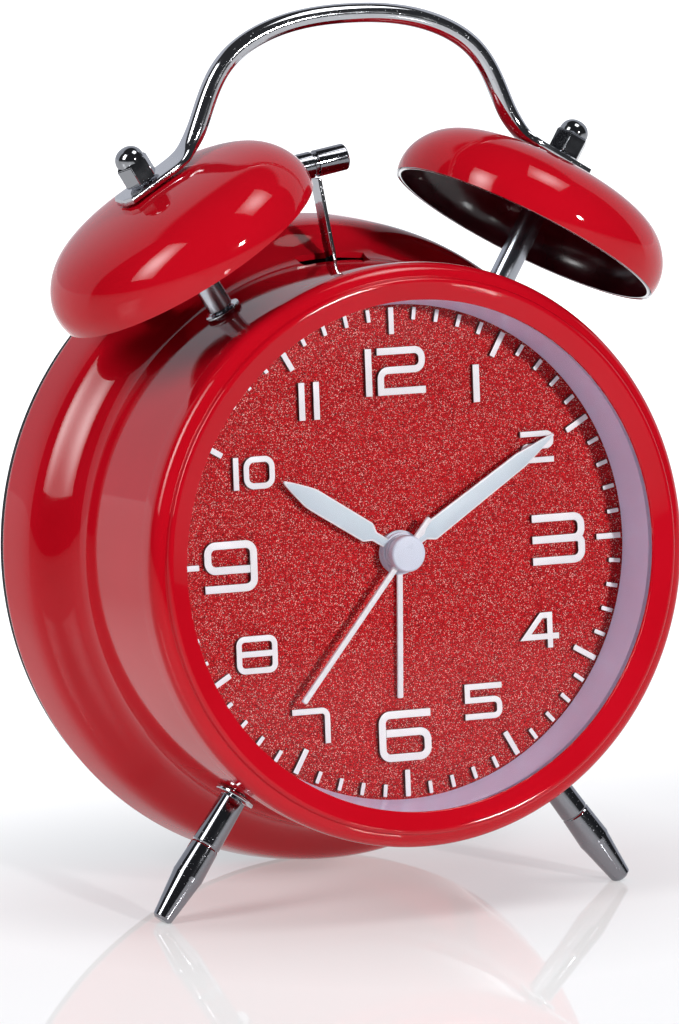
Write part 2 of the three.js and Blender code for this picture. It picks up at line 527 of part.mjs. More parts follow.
for (const [name, side] of [['upper', 1], ['lower', -1]]) {
  const end = CELL_LENGTH / 2;
  const profile = [[0, -end], [CELL_R, -end], [CELL_R, end - 1.2], [2.6, end - 1.2], [2.6, end], [0, end]];
  const cell = dished(profile, 20).rotateZ(-side * Math.PI / 2);
  add(`aa_cell_${name}`, cell, CELL).position.set(0, CELL_Y, CELL_Z[name]);
  const turns = 2.5;
  const coil = Array.from({ length: 26 }, (_, step) => {
    const angle = 2 * Math.PI * turns * step / 25;
    const radius = 4.6 - 2.2 * step / 25;
    return new THREE.Vector3(end + 2.7 - 2.1 * step / 25, radius * Math.cos(angle), radius * Math.sin(angle));
  });
  const wire = new THREE.ExtrudeGeometry(new THREE.Shape(points(circle(0.3, 5))),
    { steps: 30, extrudePath: new THREE.CatmullRomCurve3(coil) });
  const spring = side > 0 ? wire.rotateZ(Math.PI) : wire;
  add(`battery_spring_${name}`, spring, STEEL).position.set(0, CELL_Y, CELL_Z[name]);
}
const bridgeX = WELL.halfX - WELL.wall - 0.1;
add('battery_contact', block(bridgeX - 0.4, bridgeX, 29.5, 39.5, CELL_Z.lower - 5, CELL_Z.upper + 5), STEEL);

// ---- Hammer and its motor ----
const hammer = new THREE.Group();
hammer.position.set(0, HAMMER_Y, HAMMER_PIVOT_Z);
hammer.rotation.y = HAMMER_TILT;
clock.add(hammer);
const HEAD_R = 2.4;
const strip = block(-0.35, 0.35, -1.75, 1.75, 1, HAMMER_REACH - HEAD_R - GAP);
const hub = dished(ring(1.2, 2.6, -2.4, 2.4), SMALL_ROUND);
const fork = [
  block(-6.4, 6.4, -0.9, 0.9, -5.4, -4), block(-6.4, -5.4, -0.9, 0.9, -15, -4), block(5.4, 6.4, -0.9, 0.9, -15, -4),
  block(-1, 1, -0.9, 0.9, -5, -1.8),
];
add('hammer_arm', cut(joined(strip, hub, ...fork), dished(disc(1.2, -5, 5), SMALL_ROUND)), CHROME, hammer);
const headHalf = 6.2;
const headProfile = [
  [0, -headHalf], [HEAD_R - 0.3, -headHalf], [HEAD_R, -headHalf + 0.3], [HEAD_R, -0.5], [HEAD_R - 0.4, -0.3],
  [HEAD_R - 0.4, 0.3], [HEAD_R, 0.5], [HEAD_R, headHalf - 0.3], [HEAD_R - 0.3, headHalf], [0, headHalf],
];
add('hammer_head', dished(headProfile, 20).rotateZ(-Math.PI / 2), CHROME, hammer).position.z = HAMMER_REACH;

const pin = hole(1, { x: 0, z: HAMMER_PIVOT_Z }, 18, 25.4);
const bracketPlate = block(-8, 8, 17.5, 18.7, 21, 48);
const shelfTop = MOTOR_Z - MOTOR_R - GAP;
const shelf = block(-6, 6, 18, 40, shelfTop - 1.2, shelfTop);
add('hammer_bracket', joined(bracketPlate, pin, shelf), STEEL);
add('hammer_motor', joined(
  hole(MOTOR_R, { x: 0, z: MOTOR_Z }, 29, 40.2, 24), hole(2.5, { x: 0, z: MOTOR_Z }, 27.2, 29.5)), STEEL);
add('motor_cam', joined(
  hole(2.8, { x: 0, z: MOTOR_Z }, 25, 26.8), hole(0.6, { x: 1, z: MOTOR_Z }, 20.8, 25.4, 10)), WHITE);

// ---- Stand the clock on the floor, centred over the origin ----
clock.rotation.x = -LEAN;
const leaned = new THREE.Group();
leaned.add(clock);
leaned.updateMatrixWorld(true);
const bounds = new THREE.Box3().setFromObject(leaned, true);
clock.position.set(0, -(bounds.min.y + bounds.max.y) / 2, -bounds.min.z);

export default leaned;
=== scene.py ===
"""Twin-bell alarm clock: the finished surfaces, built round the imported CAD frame.

Lengths are in millimetres in the clock's own upright frame: dial centre at the origin, -Y to the front and
+Z towards 12 o'clock. CLOCK leans that frame back onto the feet and turns millimetres into metres.
"""
import json
import math

import bmesh
import bpy
from mathutils import Matrix
from mathutils import Vector


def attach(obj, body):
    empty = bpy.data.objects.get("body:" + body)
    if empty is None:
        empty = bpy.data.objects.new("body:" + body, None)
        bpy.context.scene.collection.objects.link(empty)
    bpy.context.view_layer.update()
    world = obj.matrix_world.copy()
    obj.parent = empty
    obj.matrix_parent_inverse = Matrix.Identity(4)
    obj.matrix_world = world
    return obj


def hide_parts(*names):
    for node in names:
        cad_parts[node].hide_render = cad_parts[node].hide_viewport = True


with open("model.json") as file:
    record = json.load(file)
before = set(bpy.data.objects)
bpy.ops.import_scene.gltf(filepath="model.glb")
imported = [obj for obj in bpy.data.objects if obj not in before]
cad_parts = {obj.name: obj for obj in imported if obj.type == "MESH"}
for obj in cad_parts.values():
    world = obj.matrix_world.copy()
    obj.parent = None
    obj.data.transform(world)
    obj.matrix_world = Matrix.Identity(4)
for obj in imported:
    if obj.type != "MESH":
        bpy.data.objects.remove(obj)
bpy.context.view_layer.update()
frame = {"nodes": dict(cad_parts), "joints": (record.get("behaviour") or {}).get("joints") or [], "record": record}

MM = 0.001
JOINTS = {joint["name"]: joint for joint in frame["joints"]}
DIAL_AXIS = Vector(JOINTS["minute_spin"]["axis"])  # from the dial to the back of the clock
LEAN = math.atan2(-DIAL_AXIS.z, DIAL_AXIS.y)
DIAL_CENTRE = Vector(JOINTS["minute_spin"]["pos_m"])
UPRIGHT = Matrix.Rotation(-LEAN, 4, "X")
CLOCK = Matrix.Translation(DIAL_CENTRE) @ UPRIGHT @ Matrix.Scale(MM, 4)

# ---- Driving sizes, as in the CAD ----
DRUM_R = 50.1
DRUM_FRONT_Y = -6.6
CREASE_Y = 21
RIM_R = 57.6
RIM_EDGE_Y = 40.2
RIM_BACK_Y = 42
SHEET = 1
OPENING_R = 44.5
BELL_ANGLE = math.radians(31.2)
BELL_Y = 12.2
BELL_BASE = 62.2
BELL_HEIGHT = 13.8
STRAP_BOTTOM = BELL_BASE + BELL_HEIGHT + 0.3
STRAP_T = 1.4
STRAP_W = 7.4
HANDLE_R = 1.8
NUT_BASE = STRAP_BOTTOM + STRAP_T + 0.3
FOOT_ANGLE = math.radians(35.9)
FOOT_Y = 7
FOOT_END = 75.9
STUD_END = 44.5  # how far in the studs of posts and feet reach
HAMMER_Y = 22
HAMMER_PIVOT_Z = 46
HAMMER_TILT = math.radians(-9.5)
HAMMER_REACH = 21.4
COVER_Y = 42.3
COVER_BACK = 43.9
COVER_R = 56.8
SIDES = {"left": -1, "right": 1}
MARK_HEIGHT = 0.8  # numerals and minute marks stand this far off the dial
ON_AXIS = 1e-6
WELD = 1e-4  # points nearer than this become one

# ---- Light ----
ROOM_LIGHT = 0.04
WALL_LIGHT = 0.68
CENTRE_GLOW = 2.2  # a soft box is this much brighter in its middle
EDGE_GLOW = 0.45
LAMP_AIM = Vector((0, 0, 0.08))
WALL_AZIMUTH = 165
# the floor's glow by the distance from the clock's middle, lower near it as a painted shadow under the clock, and
# that of a painted bright strip of light behind it
FLOOR_GLOW_PAINTED_SHADE = {"low": 0.17, "high": 0.325, "start": 30, "end": 78}
PAINTED_STRIP_BACK = {"low": 0.14, "high": 0.75, "start": 0, "end": 250}
PAINTED_STRIP_ASIDE = {"low": 1, "high": 0, "start": 68, "end": 170}
PAINTED_STRIP_SIDE = (0.908, -0.418, 0)
PAINTED_STRIP_WIDENS = 0.06

NODE_SLOT = {part["node"]: part["material_slot"] for part in frame["record"]["subparts"]}
NODE_BODY = {node: body for body, nodes in frame["record"]["behaviour"]["bodies"].items() for node in nodes}


# ---- Outlines ----
def rounded(outline, closed=True, step=math.radians(10)):
    """An outline in which a point's third value, if it has one, is the radius of its corner."""
    count = len(outline)
    result = []
    for index, point in enumerate(outline):
        here = Vector(point[:2])
        is_end = not closed and index in (0, count - 1)
        if len(point) < 3 or is_end:
            result.append(here)
            continue
        before = (Vector(outline[index - 1][:2]) - here).normalized()
        after = (Vector(outline[(index + 1) % count][:2]) - here).normalized()
        half = before.angle(after) / 2
        centre = here + (before + after).normalized() * (point[2] / math.sin(half))
        start = here + before * (point[2] / math.tan(half)) - centre
        sweep = math.pi - 2 * half
        turn = 1 if before.cross(after) < 0 else -1
        steps = max(2, math.ceil(sweep / step))
        for number in range(steps + 1):
            spin = Matrix.Rotation(turn * sweep * number / steps, 2)
            result.append(centre + spin @ start)
    return result


def b_spline(controls, steps=8):
    """A smooth line near the control points, from the first to the last."""
    line = [Vector(point) for point in controls]
    line = [line[0]] * 2 + line + [line[-1]] * 2
    result = []
    for index in range(len(line) - 3):
        a, b, c, d = line[index:index + 4]
        for number in range(steps):
            u = number / steps
            result.append((a * (1 - u) ** 3 + b * (3 * u ** 3 - 6 * u * u + 4)
                           + c * (-3 * u ** 3 + 3 * u * u + 3 * u + 1) + d * u ** 3) / 6)
    result.append(line[-1])
    return result


def circle(radius, count=64, centre=(0, 0)):
    """A round outline."""
    return [(centre[0] + radius * math.cos(math.tau * index / count),
             centre[1] + radius * math.sin(math.tau * index / count)) for index in range(count)]


def rectangle(x0, x1, z0, z1, radius=0.0):
    """A box outline with rounded corners."""
    corners = [(x0, z0), (x1, z0), (x1, z1), (x0, z1)]
    if radius:
        return rounded([(x, z, radius) for x, z in corners])
    return corners


def polar(radius, degrees):
    """A place in the plane of the dial; degrees run anticlockwise from 3 o'clock."""
    angle = math.radians(degrees)
    return radius * math.cos(angle), radius * math.sin(angle)


# ---- Data and objects ----
def as_data(name, mesh):
    """The bmesh as mesh data; the bmesh is used up."""
    data = bpy.data.meshes.new(name)
    mesh.to_mesh(data)
    mesh.free()
    return data


def in_scene(name, data):
    """A new object of the data, linked to the scene."""
    thing = bpy.data.objects.new(name, data)
    bpy.context.scene.collection.objects.link(thing)
    return thing


def result_of(thing):
    """A bmesh of the object's shape, after its modifiers if it has any."""
    bpy.context.view_layer.update()
    data = bpy.data.meshes.new_from_object(thing.evaluated_get(bpy.context.evaluated_depsgraph_get()))
    mesh = bmesh.new()
    mesh.from_mesh(data)
    bpy.data.meshes.remove(data)
    return mesh


# ---- Mesh builders: each returns a bmesh in the clock's millimetres ----
def lathe(profile, closed=False, segments=160, paint=None):
    """Turns (radius, y) pairs round the Y axis. paint gives each profile step its material index."""
    mesh = bmesh.new()
    rings = []
    for radius, height in profile:
        if radius < ON_AXIS:
            rings.append([mesh.verts.new((0, height, 0))] * segments)
        else:
            rings.append([mesh.verts.new((x, height, z)) for x, z in circle(radius, segments)])
    steps = len(rings) if closed else len(rings) - 1
    for step in range(steps):
        low = rings[step]
        high = rings[(step + 1) % len(rings)]
        for index in range(segments):
            following = (index + 1) % segments
            corners = [low[index], low[following], high[following], high[index]]
            face = mesh.faces.new(list(dict.fromkeys(corners)))
            face.material_index = paint(step) if paint else 0
    bmesh.ops.recalc_face_normals(mesh, faces=mesh.faces)
    return mesh


def skin(rings):
    """A tube over rings of points, closed at both ends."""
    mesh = bmesh.new()
    rings = [[mesh.verts.new(point) for point in ring] for ring in rings]
    for low, high in zip(rings, rings[1:]):
        for index in range(len(low)):
            following = (index + 1) % len(low)
            mesh.faces.new((low[index], low[following], high[following], high[index]))
    mesh.faces.new(rings[0])
    mesh.faces.new(rings[-1][::-1])
    bmesh.ops.recalc_face_normals(mesh, faces=mesh.faces)
    return mesh


def disc(radius, low, high, edge=0.2):
    """A solid disc's profile from low to high with rounded edges."""
    return [(0, low)] + rounded([(0, low), (radius, low, edge), (radius, high, edge), (0, high)], False)[1:]


def washer(inner, outer, low, high, edge=0.15):
    """A ring's closed profile."""
    return rounded([(inner, low, edge), (outer, low, edge), (outer, high, edge), (inner, high, edge)])


def cut_out(outlines, low, high, bevel=0.0, steps=3):
    """A flat piece in X and Z, from depth low to high, with its edges rolled over by bevel."""
    curve = bpy.data.curves.new("outline", "CURVE")
    curve.dimensions = "2D"
    curve.fill_mode = "BOTH"
    curve.extrude = (high - low) / 2 - bevel
    curve.bevel_depth = bevel
    curve.bevel_resolution = steps
    curve.offset = -bevel
    for outline in outlines:
        spline = curve.splines.new("POLY")
        spline.points.add(len(outline) - 1)
        for point, place in zip(spline.points, outline):
            point.co = (place[0], place[1], 0, 1)
        spline.use_cyclic_u = True
    holder = in_scene("outline", curve)
    mesh = result_of(holder)
    bpy.data.objects.remove(holder)
    bpy.data.curves.remove(curve)
    bmesh.ops.remove_doubles(mesh, verts=mesh.verts, dist=WELD)
    mesh.transform(Matrix.Translation((0, (low + high) / 2, 0)) @ Matrix.Rotation(math.pi / 2, 4, "X"))
    bmesh.ops.recalc_face_normals(mesh, faces=mesh.faces)
    return mesh


def joined(*meshes):
    """Several bmeshes as one; the given ones are used up."""
    whole = bmesh.new()
    for mesh in meshes:
        part = as_data("part", mesh)
        whole.from_mesh(part)
        bpy.data.meshes.remove(part)
    return whole


def cut_by(mesh, tool):
    """The mesh less the tool, by an exact boolean; both are used up."""
    things = [in_scene("solid", as_data("solid", source)) for source in (mesh, tool)]
    modifier = things[0].modifiers.new("cut", "BOOLEAN")
    modifier.object = things[1]
    modifier.solver = "EXACT"
    cut = result_of(things[0])
    for thing in things:
        bpy.data.meshes.remove(thing.data)
    return cut


def moved(mesh, matrix):
    """The bmesh, moved by the matrix."""
    mesh.transform(matrix)
    return mesh


def radial(angle, y):
    """Turns a piece lathed on the Y axis to run outwards; angle is from 12 o'clock to the right."""
    outwards = Matrix.Rotation(math.pi / 2, 4, "X")
    return Matrix.Translation((0, y, 0)) @ Matrix.Rotation(angle, 4, "Y") @ outwards


def at(place):
    """Moves a piece made on the dial's axis to a place in the dial's plane."""
    return Matrix.Translation((place[0], 0, place[1]))


def painted(mesh, index, test=None):
    """Gives the faces that pass the test, or all of them, a material index."""
    mesh.normal_update()
    for face in mesh.faces:
        if test is None or test(face):
            face.material_index = index
    return mesh


def piece(name, mesh, finishes, node=None, crease=28):
    """Makes the bmesh an object that stands for a CAD node: it takes the node's body, and the node is hidden.

    finishes are names in MATERIALS. A piece of no node is part of the case.
    """
    sharp = math.radians(crease)
    for face in mesh.faces:
        face.smooth = True
    for edge in mesh.edges:
        edge.smooth = len(edge.link_faces) == 2 and edge.calc_face_angle(math.pi) < sharp
    mesh.transform(CLOCK)
    data = as_data(name, mesh)
    for finish in finishes.split():
        data.materials.append(MATERIALS[finish])
    thing = in_scene(name, data)
    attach(thing, NODE_BODY.get(node, "case"))
    if node:
        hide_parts(node)


# ---- Materials ----
class Network:
    """Short ways to add to a node tree; a value is another node's output or a constant."""

    def __init__(self, tree):
        self.tree = tree

    def feed(self, socket, value):
        """Gives the socket the value."""
        if isinstance(value, bpy.types.NodeSocket):
            self.tree.links.new(value, socket)
        else:
            socket.default_value = value

    def node(self, kind, inputs, **settings):
        """A new node, whose inputs are given by name or number."""
        made = self.tree.nodes.new("ShaderNode" + kind)
        for key, value in settings.items():
            setattr(made, key, value)
        for socket, value in inputs.items():
            self.feed(made.inputs[socket], value)
        return made

    def compute(self, kind, operation, *values, output=0):
        """The result of a Math or VectorMath node."""
        return self.node(kind, dict(enumerate(values)), operation=operation).outputs[output]

    def spread(self, source, low, high, start=0.3, end=0.7, shoulders="LINEAR"):
        """Maps a source's range to values between low and high."""
        ends = {"Value": source, "From Min": start, "From Max": end, "To Min": low, "To Max": high}
        return self.node("MapRange", ends, interpolation_type=shoulders).outputs[0]


class Finish(Network):
    """A Principled material whose colour, gloss and relief come from small networks in millimetres."""

    def __init__(self, name, color, roughness, metallic=0.0, **sockets):
        self.material = bpy.data.materials.new(name)
        self.material.use_nodes = True
        super().__init__(self.material.node_tree)
        self.shader = self.tree.nodes["Principled BSDF"]
        self.set("Base Color", (*color, 1))
        self.set("Roughness", roughness)
        self.set("Metallic", metallic)
        for socket, value in sockets.items():
            self.set(socket.replace("_", " "), value)
        where = self.node("TexCoord", {}).outputs["Object"]
        scale = self.node("VectorMath", {0: where, "Scale": 1 / MM}, operation="SCALE")
        self.place = scale.outputs[0]

    def set(self, socket, value):
        """Gives one of the shader's sockets a value."""
        self.feed(self.shader.inputs[socket], value)

    def noise(self, scale, detail=3.0, stretch=(1, 1, 1)):
        """A noise pattern with scale features per millimetre."""
        mapping = self.node("Mapping", {"Vector": self.place, "Scale": stretch})
        texture = self.node("TexNoise", {"Vector": mapping.outputs[0], "Scale": scale, "Detail": detail})
        return texture.outputs["Fac"]

    def tint(self, source, first, second):
        """Mixes two colours by a pattern and makes them the base colour."""
        mix = self.node("Mix", {"Factor": source, 6: (*first, 1), 7: (*second, 1)}, data_type="RGBA")
        self.set("Base Color", mix.outputs[2])
        return mix.outputs[2]

    def gloss(self, source):
        """Makes a pattern the roughness."""
        self.set("Roughness", source)

    def relief(self, source, depth):
        """Bumps the surface by a pattern; depth is in millimetres."""
        bump = self.node("Bump", {"Distance": depth * MM, "Strength": 1.0, "Height": source})
        self.set("Normal", bump.outputs[0])


def red_paint():
    """Glossy deep red enamel with a trace of orange peel."""
    paint = Finish("red_paint", (0.48, 0.003, 0.01), 0.05, IOR=1.38)
    paint.tint(paint.spread(paint.noise(0.05), 0, 1), (0.46, 0.002, 0.009), (0.5, 0.003, 0.012))
    paint.gloss(paint.spread(paint.noise(0.3), 0.03, 0.07))
    paint.relief(paint.noise(0.7, 1.0), 0.0007)
    return paint.material


def bell_inside():
    """The inside of a bell, a near-black red."""
    finish = Finish("bell_inside", (0.04, 0.002, 0.006), 0.2)
    finish.tint(finish.spread(finish.noise(0.12, 2), 0, 1), (0.03, 0.002, 0.005), (0.06, 0.004, 0.01))
    finish.gloss(finish.spread(finish.noise(0.3, 2), 0.14, 0.24))
    return finish.material


def chrome(name, color, roughness, dust):
    """Plated steel with faint smears and, where it is handled, specks of dust."""
    finish = Finish(name, color, roughness, 1.0)
    smear = finish.spread(finish.noise(0.35, 4), roughness, roughness + 0.05)
    if dust:
        speck = finish.spread(finish.noise(3.6, 0.0), 0, 0.4, 0.78, 0.81)
        smear = finish.compute("Math", "ADD", smear, speck)
    finish.gloss(smear)
    finish.relief(finish.noise(0.5, 2), 0.002)
    return finish.material


def glitter():
    """Red lacquer full of fine flakes: each flake has its own shade, and tilts its own way."""
    finish = Finish("dial_glitter", (0.42, 0.01, 0.02), 0.6, Specular_IOR_Level=0.1)
    cells = finish.node("TexVoronoi", {"Vector": finish.place, "Scale": 8.5}, feature="F1")
    split = finish.node("SeparateColor", {0: cells.outputs["Color"]})
    flake = finish.spread(split.outputs[0], 0, 1, 0.9, 0.96)
    cloud = finish.spread(finish.noise(0.25, 2), 0.55, 1.0)
    amount = finish.compute("Math", "MULTIPLY", flake, cloud)
    lacquer = finish.tint(split.outputs[1], (0.05, 0, 0.001), (0.92, 0.014, 0.022))
    mix = finish.node("Mix", {"Factor": amount, 6: lacquer, 7: (1.0, 0.72, 0.64, 1)}, data_type="RGBA")
    finish.set("Base Color", mix.outputs[2])
    normal = finish.node("NewGeometry", {}).outputs["Normal"]
    tilt = finish.compute("VectorMath", "MULTIPLY_ADD", cells.outputs["Color"], (0.5, 0.5, 0.5),
                          (-0.25, -0.25, -0.25))
    sway = finish.compute("VectorMath", "ADD", normal, tilt)
    finish.set("Normal", finish.compute("VectorMath", "NORMALIZE", sway))
    return finish.material


def moulded(name, color, roughness, vary=0.12, grain=3.0, depth=0.004, **sockets):
    """Moulded or sprayed material with slight shade changes and a fine grain."""
    finish = Finish(name, color, roughness, **sockets)
    lighter = tuple(min(1.0, value * (1 + vary)) for value in color)
    darker = tuple(value * (1 - vary) for value in color)
    finish.tint(finish.spread(finish.noise(0.12, 3), 0, 1), darker, lighter)
    finish.gloss(finish.spread(finish.noise(0.6, 3), roughness * 0.85, roughness * 1.2))
    finish.relief(finish.noise(grain, 2), depth)
    return finish.material


def brushed(name, color, roughness, stretch=(1, 12, 1)):
    """Plain metal with a drawn grain."""
    finish = Finish(name, color, roughness, 1.0)
    grain = finish.noise(1.2, 4, stretch)
    finish.gloss(finish.spread(grain, roughness * 0.7, roughness * 1.4))
    finish.tint(finish.spread(grain, 0, 1), tuple(value * 0.85 for value in color), color)
    finish.relief(grain, 0.003)
    return finish.material


def lens_glass():
    """Clear flat glass: a mirror that is nearly transparent, more so seen straight on."""
    finish = Finish("lens_glass", (0.97, 0.98, 1.0), 0.02, 1.0)
    fresnel = finish.node("Fresnel", {"IOR": 1.45}).outputs[0]
    haze = finish.spread(finish.noise(0.03, 2), 0.6, 0.8)
    finish.set("Alpha", finish.compute("Math", "MULTIPLY", fresnel, haze))
    return finish.material


def circuit():
    """Green solder mask with tracks under it."""
    finish = Finish("circuit_board", (0.02, 0.16, 0.06), 0.3, Coat_Weight=0.5)
    tracks = finish.node("TexBrick", {"Vector": finish.place, "Scale": 0.4}).outputs["Fac"]
    finish.tint(tracks, (0.02, 0.16, 0.06), (0.04, 0.27, 0.1))
    finish.relief(tracks, 0.02)
    return finish.material


def winding():
    """Enamelled copper wire laid in fine turns along X."""
    finish = Finish("coil_copper", (0.6, 0.22, 0.09), 0.28, 1.0)
    wave = finish.node("TexWave", {"Vector": finish.place, "Scale": 2.5}, bands_direction="X")
    finish.tint(wave.outputs["Fac"], (0.3, 0.09, 0.03), (0.7, 0.28, 0.12))
    finish.relief(wave.outputs["Fac"], 0.05)
    return finish.material


def floor_white():
    """A glossy white table top whose glow is painted light: darker under the clock as a painted shadow, and
    brightest on a broad painted strip of light behind it.
    """
    finish = Finish("floor_white", (0.5, 0.5, 0.505), 0.02, IOR=1.42, Emission_Color=(1, 1, 1, 1))
    finish.tint(finish.spread(finish.noise(0.004, 2), 0, 1), (0.495, 0.495, 0.5), (0.505, 0.505, 0.51))
    finish.gloss(finish.spread(finish.noise(0.01, 2), 0.015, 0.03))
    back = finish.node("SeparateXYZ", {0: finish.place}).outputs["Y"]
    across = finish.compute("VectorMath", "DOT_PRODUCT", finish.place, PAINTED_STRIP_SIDE, output="Value")
    aside = finish.compute("Math", "MULTIPLY_ADD", back, -PAINTED_STRIP_WIDENS,
                           finish.compute("Math", "ABSOLUTE", across))
    # painted light: a bright strip of glow behind the clock that widens with distance
    strip = finish.compute("Math", "MULTIPLY", finish.spread(back, **PAINTED_STRIP_BACK),
                           finish.spread(aside, **PAINTED_STRIP_ASIDE))
    # painted shade: the glow is lower near the clock's middle, a shadow under it
    reach = finish.compute("VectorMath", "LENGTH", finish.place, output="Value")
    glow = finish.compute("Math", "ADD", strip, finish.spread(reach, **FLOOR_GLOW_PAINTED_SHADE))
    finish.set("Emission Strength", glow)
    return finish.material


# colour, roughness, spread of shades, grain a millimetre and its depth
MOULDED = {
    "mark_white": ((0.93, 0.93, 0.96), 0.4, 0.01, 4.0, 0.002),
    # near-black painted shade on the sides of the raised numerals and minute marks
    "mark_side": ((0.05, 0.001, 0.003), 0.5, 0.1),
    "hand_white": ((0.87, 0.88, 0.92), 0.28, 0.02, 3.0, 0.001),
    "hand_blue": ((0.62, 0.74, 0.82), 0.45, 0.04, 5.0, 0.004),
    "hub_white": ((0.68, 0.75, 0.88), 0.3, 0.03, 3.0, 0.001),
    "black_gloss": ((0.014, 0.014, 0.016), 0.22, 0.2, 1.5, 0.003),
    "movement_plastic": ((0.75, 0.72, 0.63), 0.5),
    "led_plastic": ((0.9, 0.88, 0.82), 0.15, 0.03, 2.0, 0.001),
    "cell_band": ((0.6, 0.6, 0.62), 0.3, 0.05, 2.0, 0.002),
    "gear_plastic": ((0.86, 0.86, 0.84), 0.45),
}
# colour, roughness and the grain's scale along X, Y and Z
BRUSHED = {
    "plain_steel": ((0.55, 0.55, 0.57), 0.3),
    "motor_steel": ((0.6, 0.6, 0.62), 0.25, (1, 1, 10)),
    "rotor_magnet": ((0.2, 0.2, 0.22), 0.35),
    "gear_brass": ((0.72, 0.5, 0.2), 0.28),
}
# colour, roughness and whether there is dust
PLATED = {
    "chrome": ((0.6, 0.61, 0.64), 0.045, True),
    "dark_chrome": ((0.36, 0.36, 0.38), 0.08, False),
    "nut_chrome": ((0.36, 0.37, 0.39), 0.05, False),
    "dark_nickel": ((0.3, 0.305, 0.33), 0.06, True),
    "post_chrome": ((0.5, 0.52, 0.57), 0.14, False),
}
MATERIALS = {
    "red_paint": red_paint(),
    "bell_inside": bell_inside(),
    "dial_glitter": glitter(),
    "lens_glass": lens_glass(),
    # painted glow: a faint lavender emission brightens the ring and the dial's edge, though the ring is no lamp
    "lavender_plastic": moulded("lavender_plastic", (0.66, 0.6, 0.8), 0.35, 0.03, 2.0, 0.001,
                                Emission_Color=(0.5, 0.47, 0.74, 1), Emission_Strength=0.13),
    "black_plastic": moulded("black_plastic", (0.018, 0.018, 0.02), 0.6, 0.2, 3.5, 0.02,
                             Specular_IOR_Level=0.2),
    "cell_wrap": moulded("cell_wrap", (0.02, 0.07, 0.24), 0.28, 0.08, 2.0, 0.002, Coat_Weight=0.5),
    "coil_copper": winding(),
    "circuit_board": circuit(),
    "floor_white": floor_white(),
}
for make, looks in ((moulded, MOULDED), (brushed, BRUSHED), (chrome, PLATED)):
    MATERIALS.update({name: make(name, *look) for name, look in looks.items()})


# ---- Case ----
SLOT = {"front": HAMMER_Y - 2.6, "back": HAMMER_Y + 2.6, "half": 6.8}
FLARE = [
    (DRUM_R, CREASE_Y), (50.35, 22.6), (51.2, 24.6), (52.6, 26.4), (54.3, 28.0), (55.8, 29.5), (56.7, 31.4),
    (57.1, 34.0), (57.4, 37.0), (RIM_R, RIM_EDGE_Y - 0.4),
]


def case_shell():
    """A straight drum, a crease, an S-shaped flare and a rim, with the hammer's slot in its top."""
    flare = [tuple(point) for point in b_spline(FLARE, 5)]
    drum = [(DRUM_R, y) for y in (DRUM_FRONT_Y, -2, 3, 8, 13, SLOT["front"])]
    near = min(flare, key=lambda point: abs(point[1] - SLOT["back"]))
    flare[flare.index(near)] = (near[0], SLOT["back"])
    rear = rounded([(RIM_R, RIM_EDGE_Y - 0.4), (RIM_R, RIM_BACK_Y, 1.8), (RIM_R - 2.2, RIM_BACK_Y)], False)
    outside = drum + flare + [tuple(point) for point in rear[1:]]
    inside = [(radius - SHEET, y) for radius, y in outside]
    inside[-1] = (outside[-1][0], RIM_BACK_Y - SHEET)
    shell = lathe(outside + inside[::-1], closed=True, segments=240)

    def in_slot(face):
        middle = face.calc_center_median()
        return abs(middle.x) < SLOT["half"] and SLOT["front"] < middle.y < SLOT["back"] and middle.z > 0

    bmesh.ops.delete(shell, geom=[face for face in shell.faces if in_slot(face)], context="FACES")
    border = [edge for edge in shell.edges if edge.is_boundary]
    bmesh.ops.bridge_loops(shell, edges=border)
    bmesh.ops.recalc_face_normals(shell, faces=shell.faces)
    return shell


piece("case_shell_surface", case_shell(), "red_paint", "case_shell", 40)


def bezel():
    """The pressed front ring: a convex skirt, a fine groove, a crest, and a slope down to the lens."""
    outline = [
        (50.4, -4.5), (50.9, -4.6, 0.25), (50.9, -10.0, 2.5), (48.55, -10.3, 0.25), (48.2, -11.62, 0.75),
        (OPENING_R, -10.5, 0.25), (OPENING_R, -9.8), (47.1, -10.1, 0.4), (48.5, -9.3), (49.9, -8.3),
        (50.4, -7.2),
    ]
    return lathe(rounded(outline, step=math.radians(7)), closed=True, segments=256)


piece("bezel", bezel(), "red_paint", "front_bezel", 50)
piece("lens_pane", lathe(disc(46.4, -9.5, -8.3, 0.15), segments=192), "lens_glass", "lens")
ring_outline = [(44.7, -8), (43.2, -0.3, 0.3), (45, -0.3), (46, -1.2), (46.6, -6), (48.2, -6.6), (48.2, -8)]
# the ring's faint glow is painted light, from the emission of its lavender material
piece("light_ring", lathe(rounded(ring_outline), True, 256), "lavender_plastic", "dial_ring", 40)
piece("dial", lathe(washer(3.2, 45.5, 0, 1, 0.1), True, 256), "dial_glitter", "dial_plate")


# ---- Numerals and marks ----
def ribbon(path, width, closed=False):
    """The outline of an even stroke along a rounded path; a closed path also gives a hole."""
    line = rounded(path, closed)
    count = len(line)
    left = []
    right = []
    for index, point in enumerate(line):
        before = line[index - 1] if closed or index else point
        after = line[(index + 1) % count] if closed or index < count - 1 else point
        first = (point - before).normalized() if before != point else (after - point).normalized()
        second = (after - point).normalized() if after != point else first
        normal = Vector((-(first + second).y, (first + second).x)).normalized()
        reach = width / 2 / max(0.3, normal.dot(Vector((-first.y, first.x))))
        left.append(point + normal * reach)
        right.append(point - normal * reach)
    if closed:
        return [left, right]
    return [left + right[::-1]]


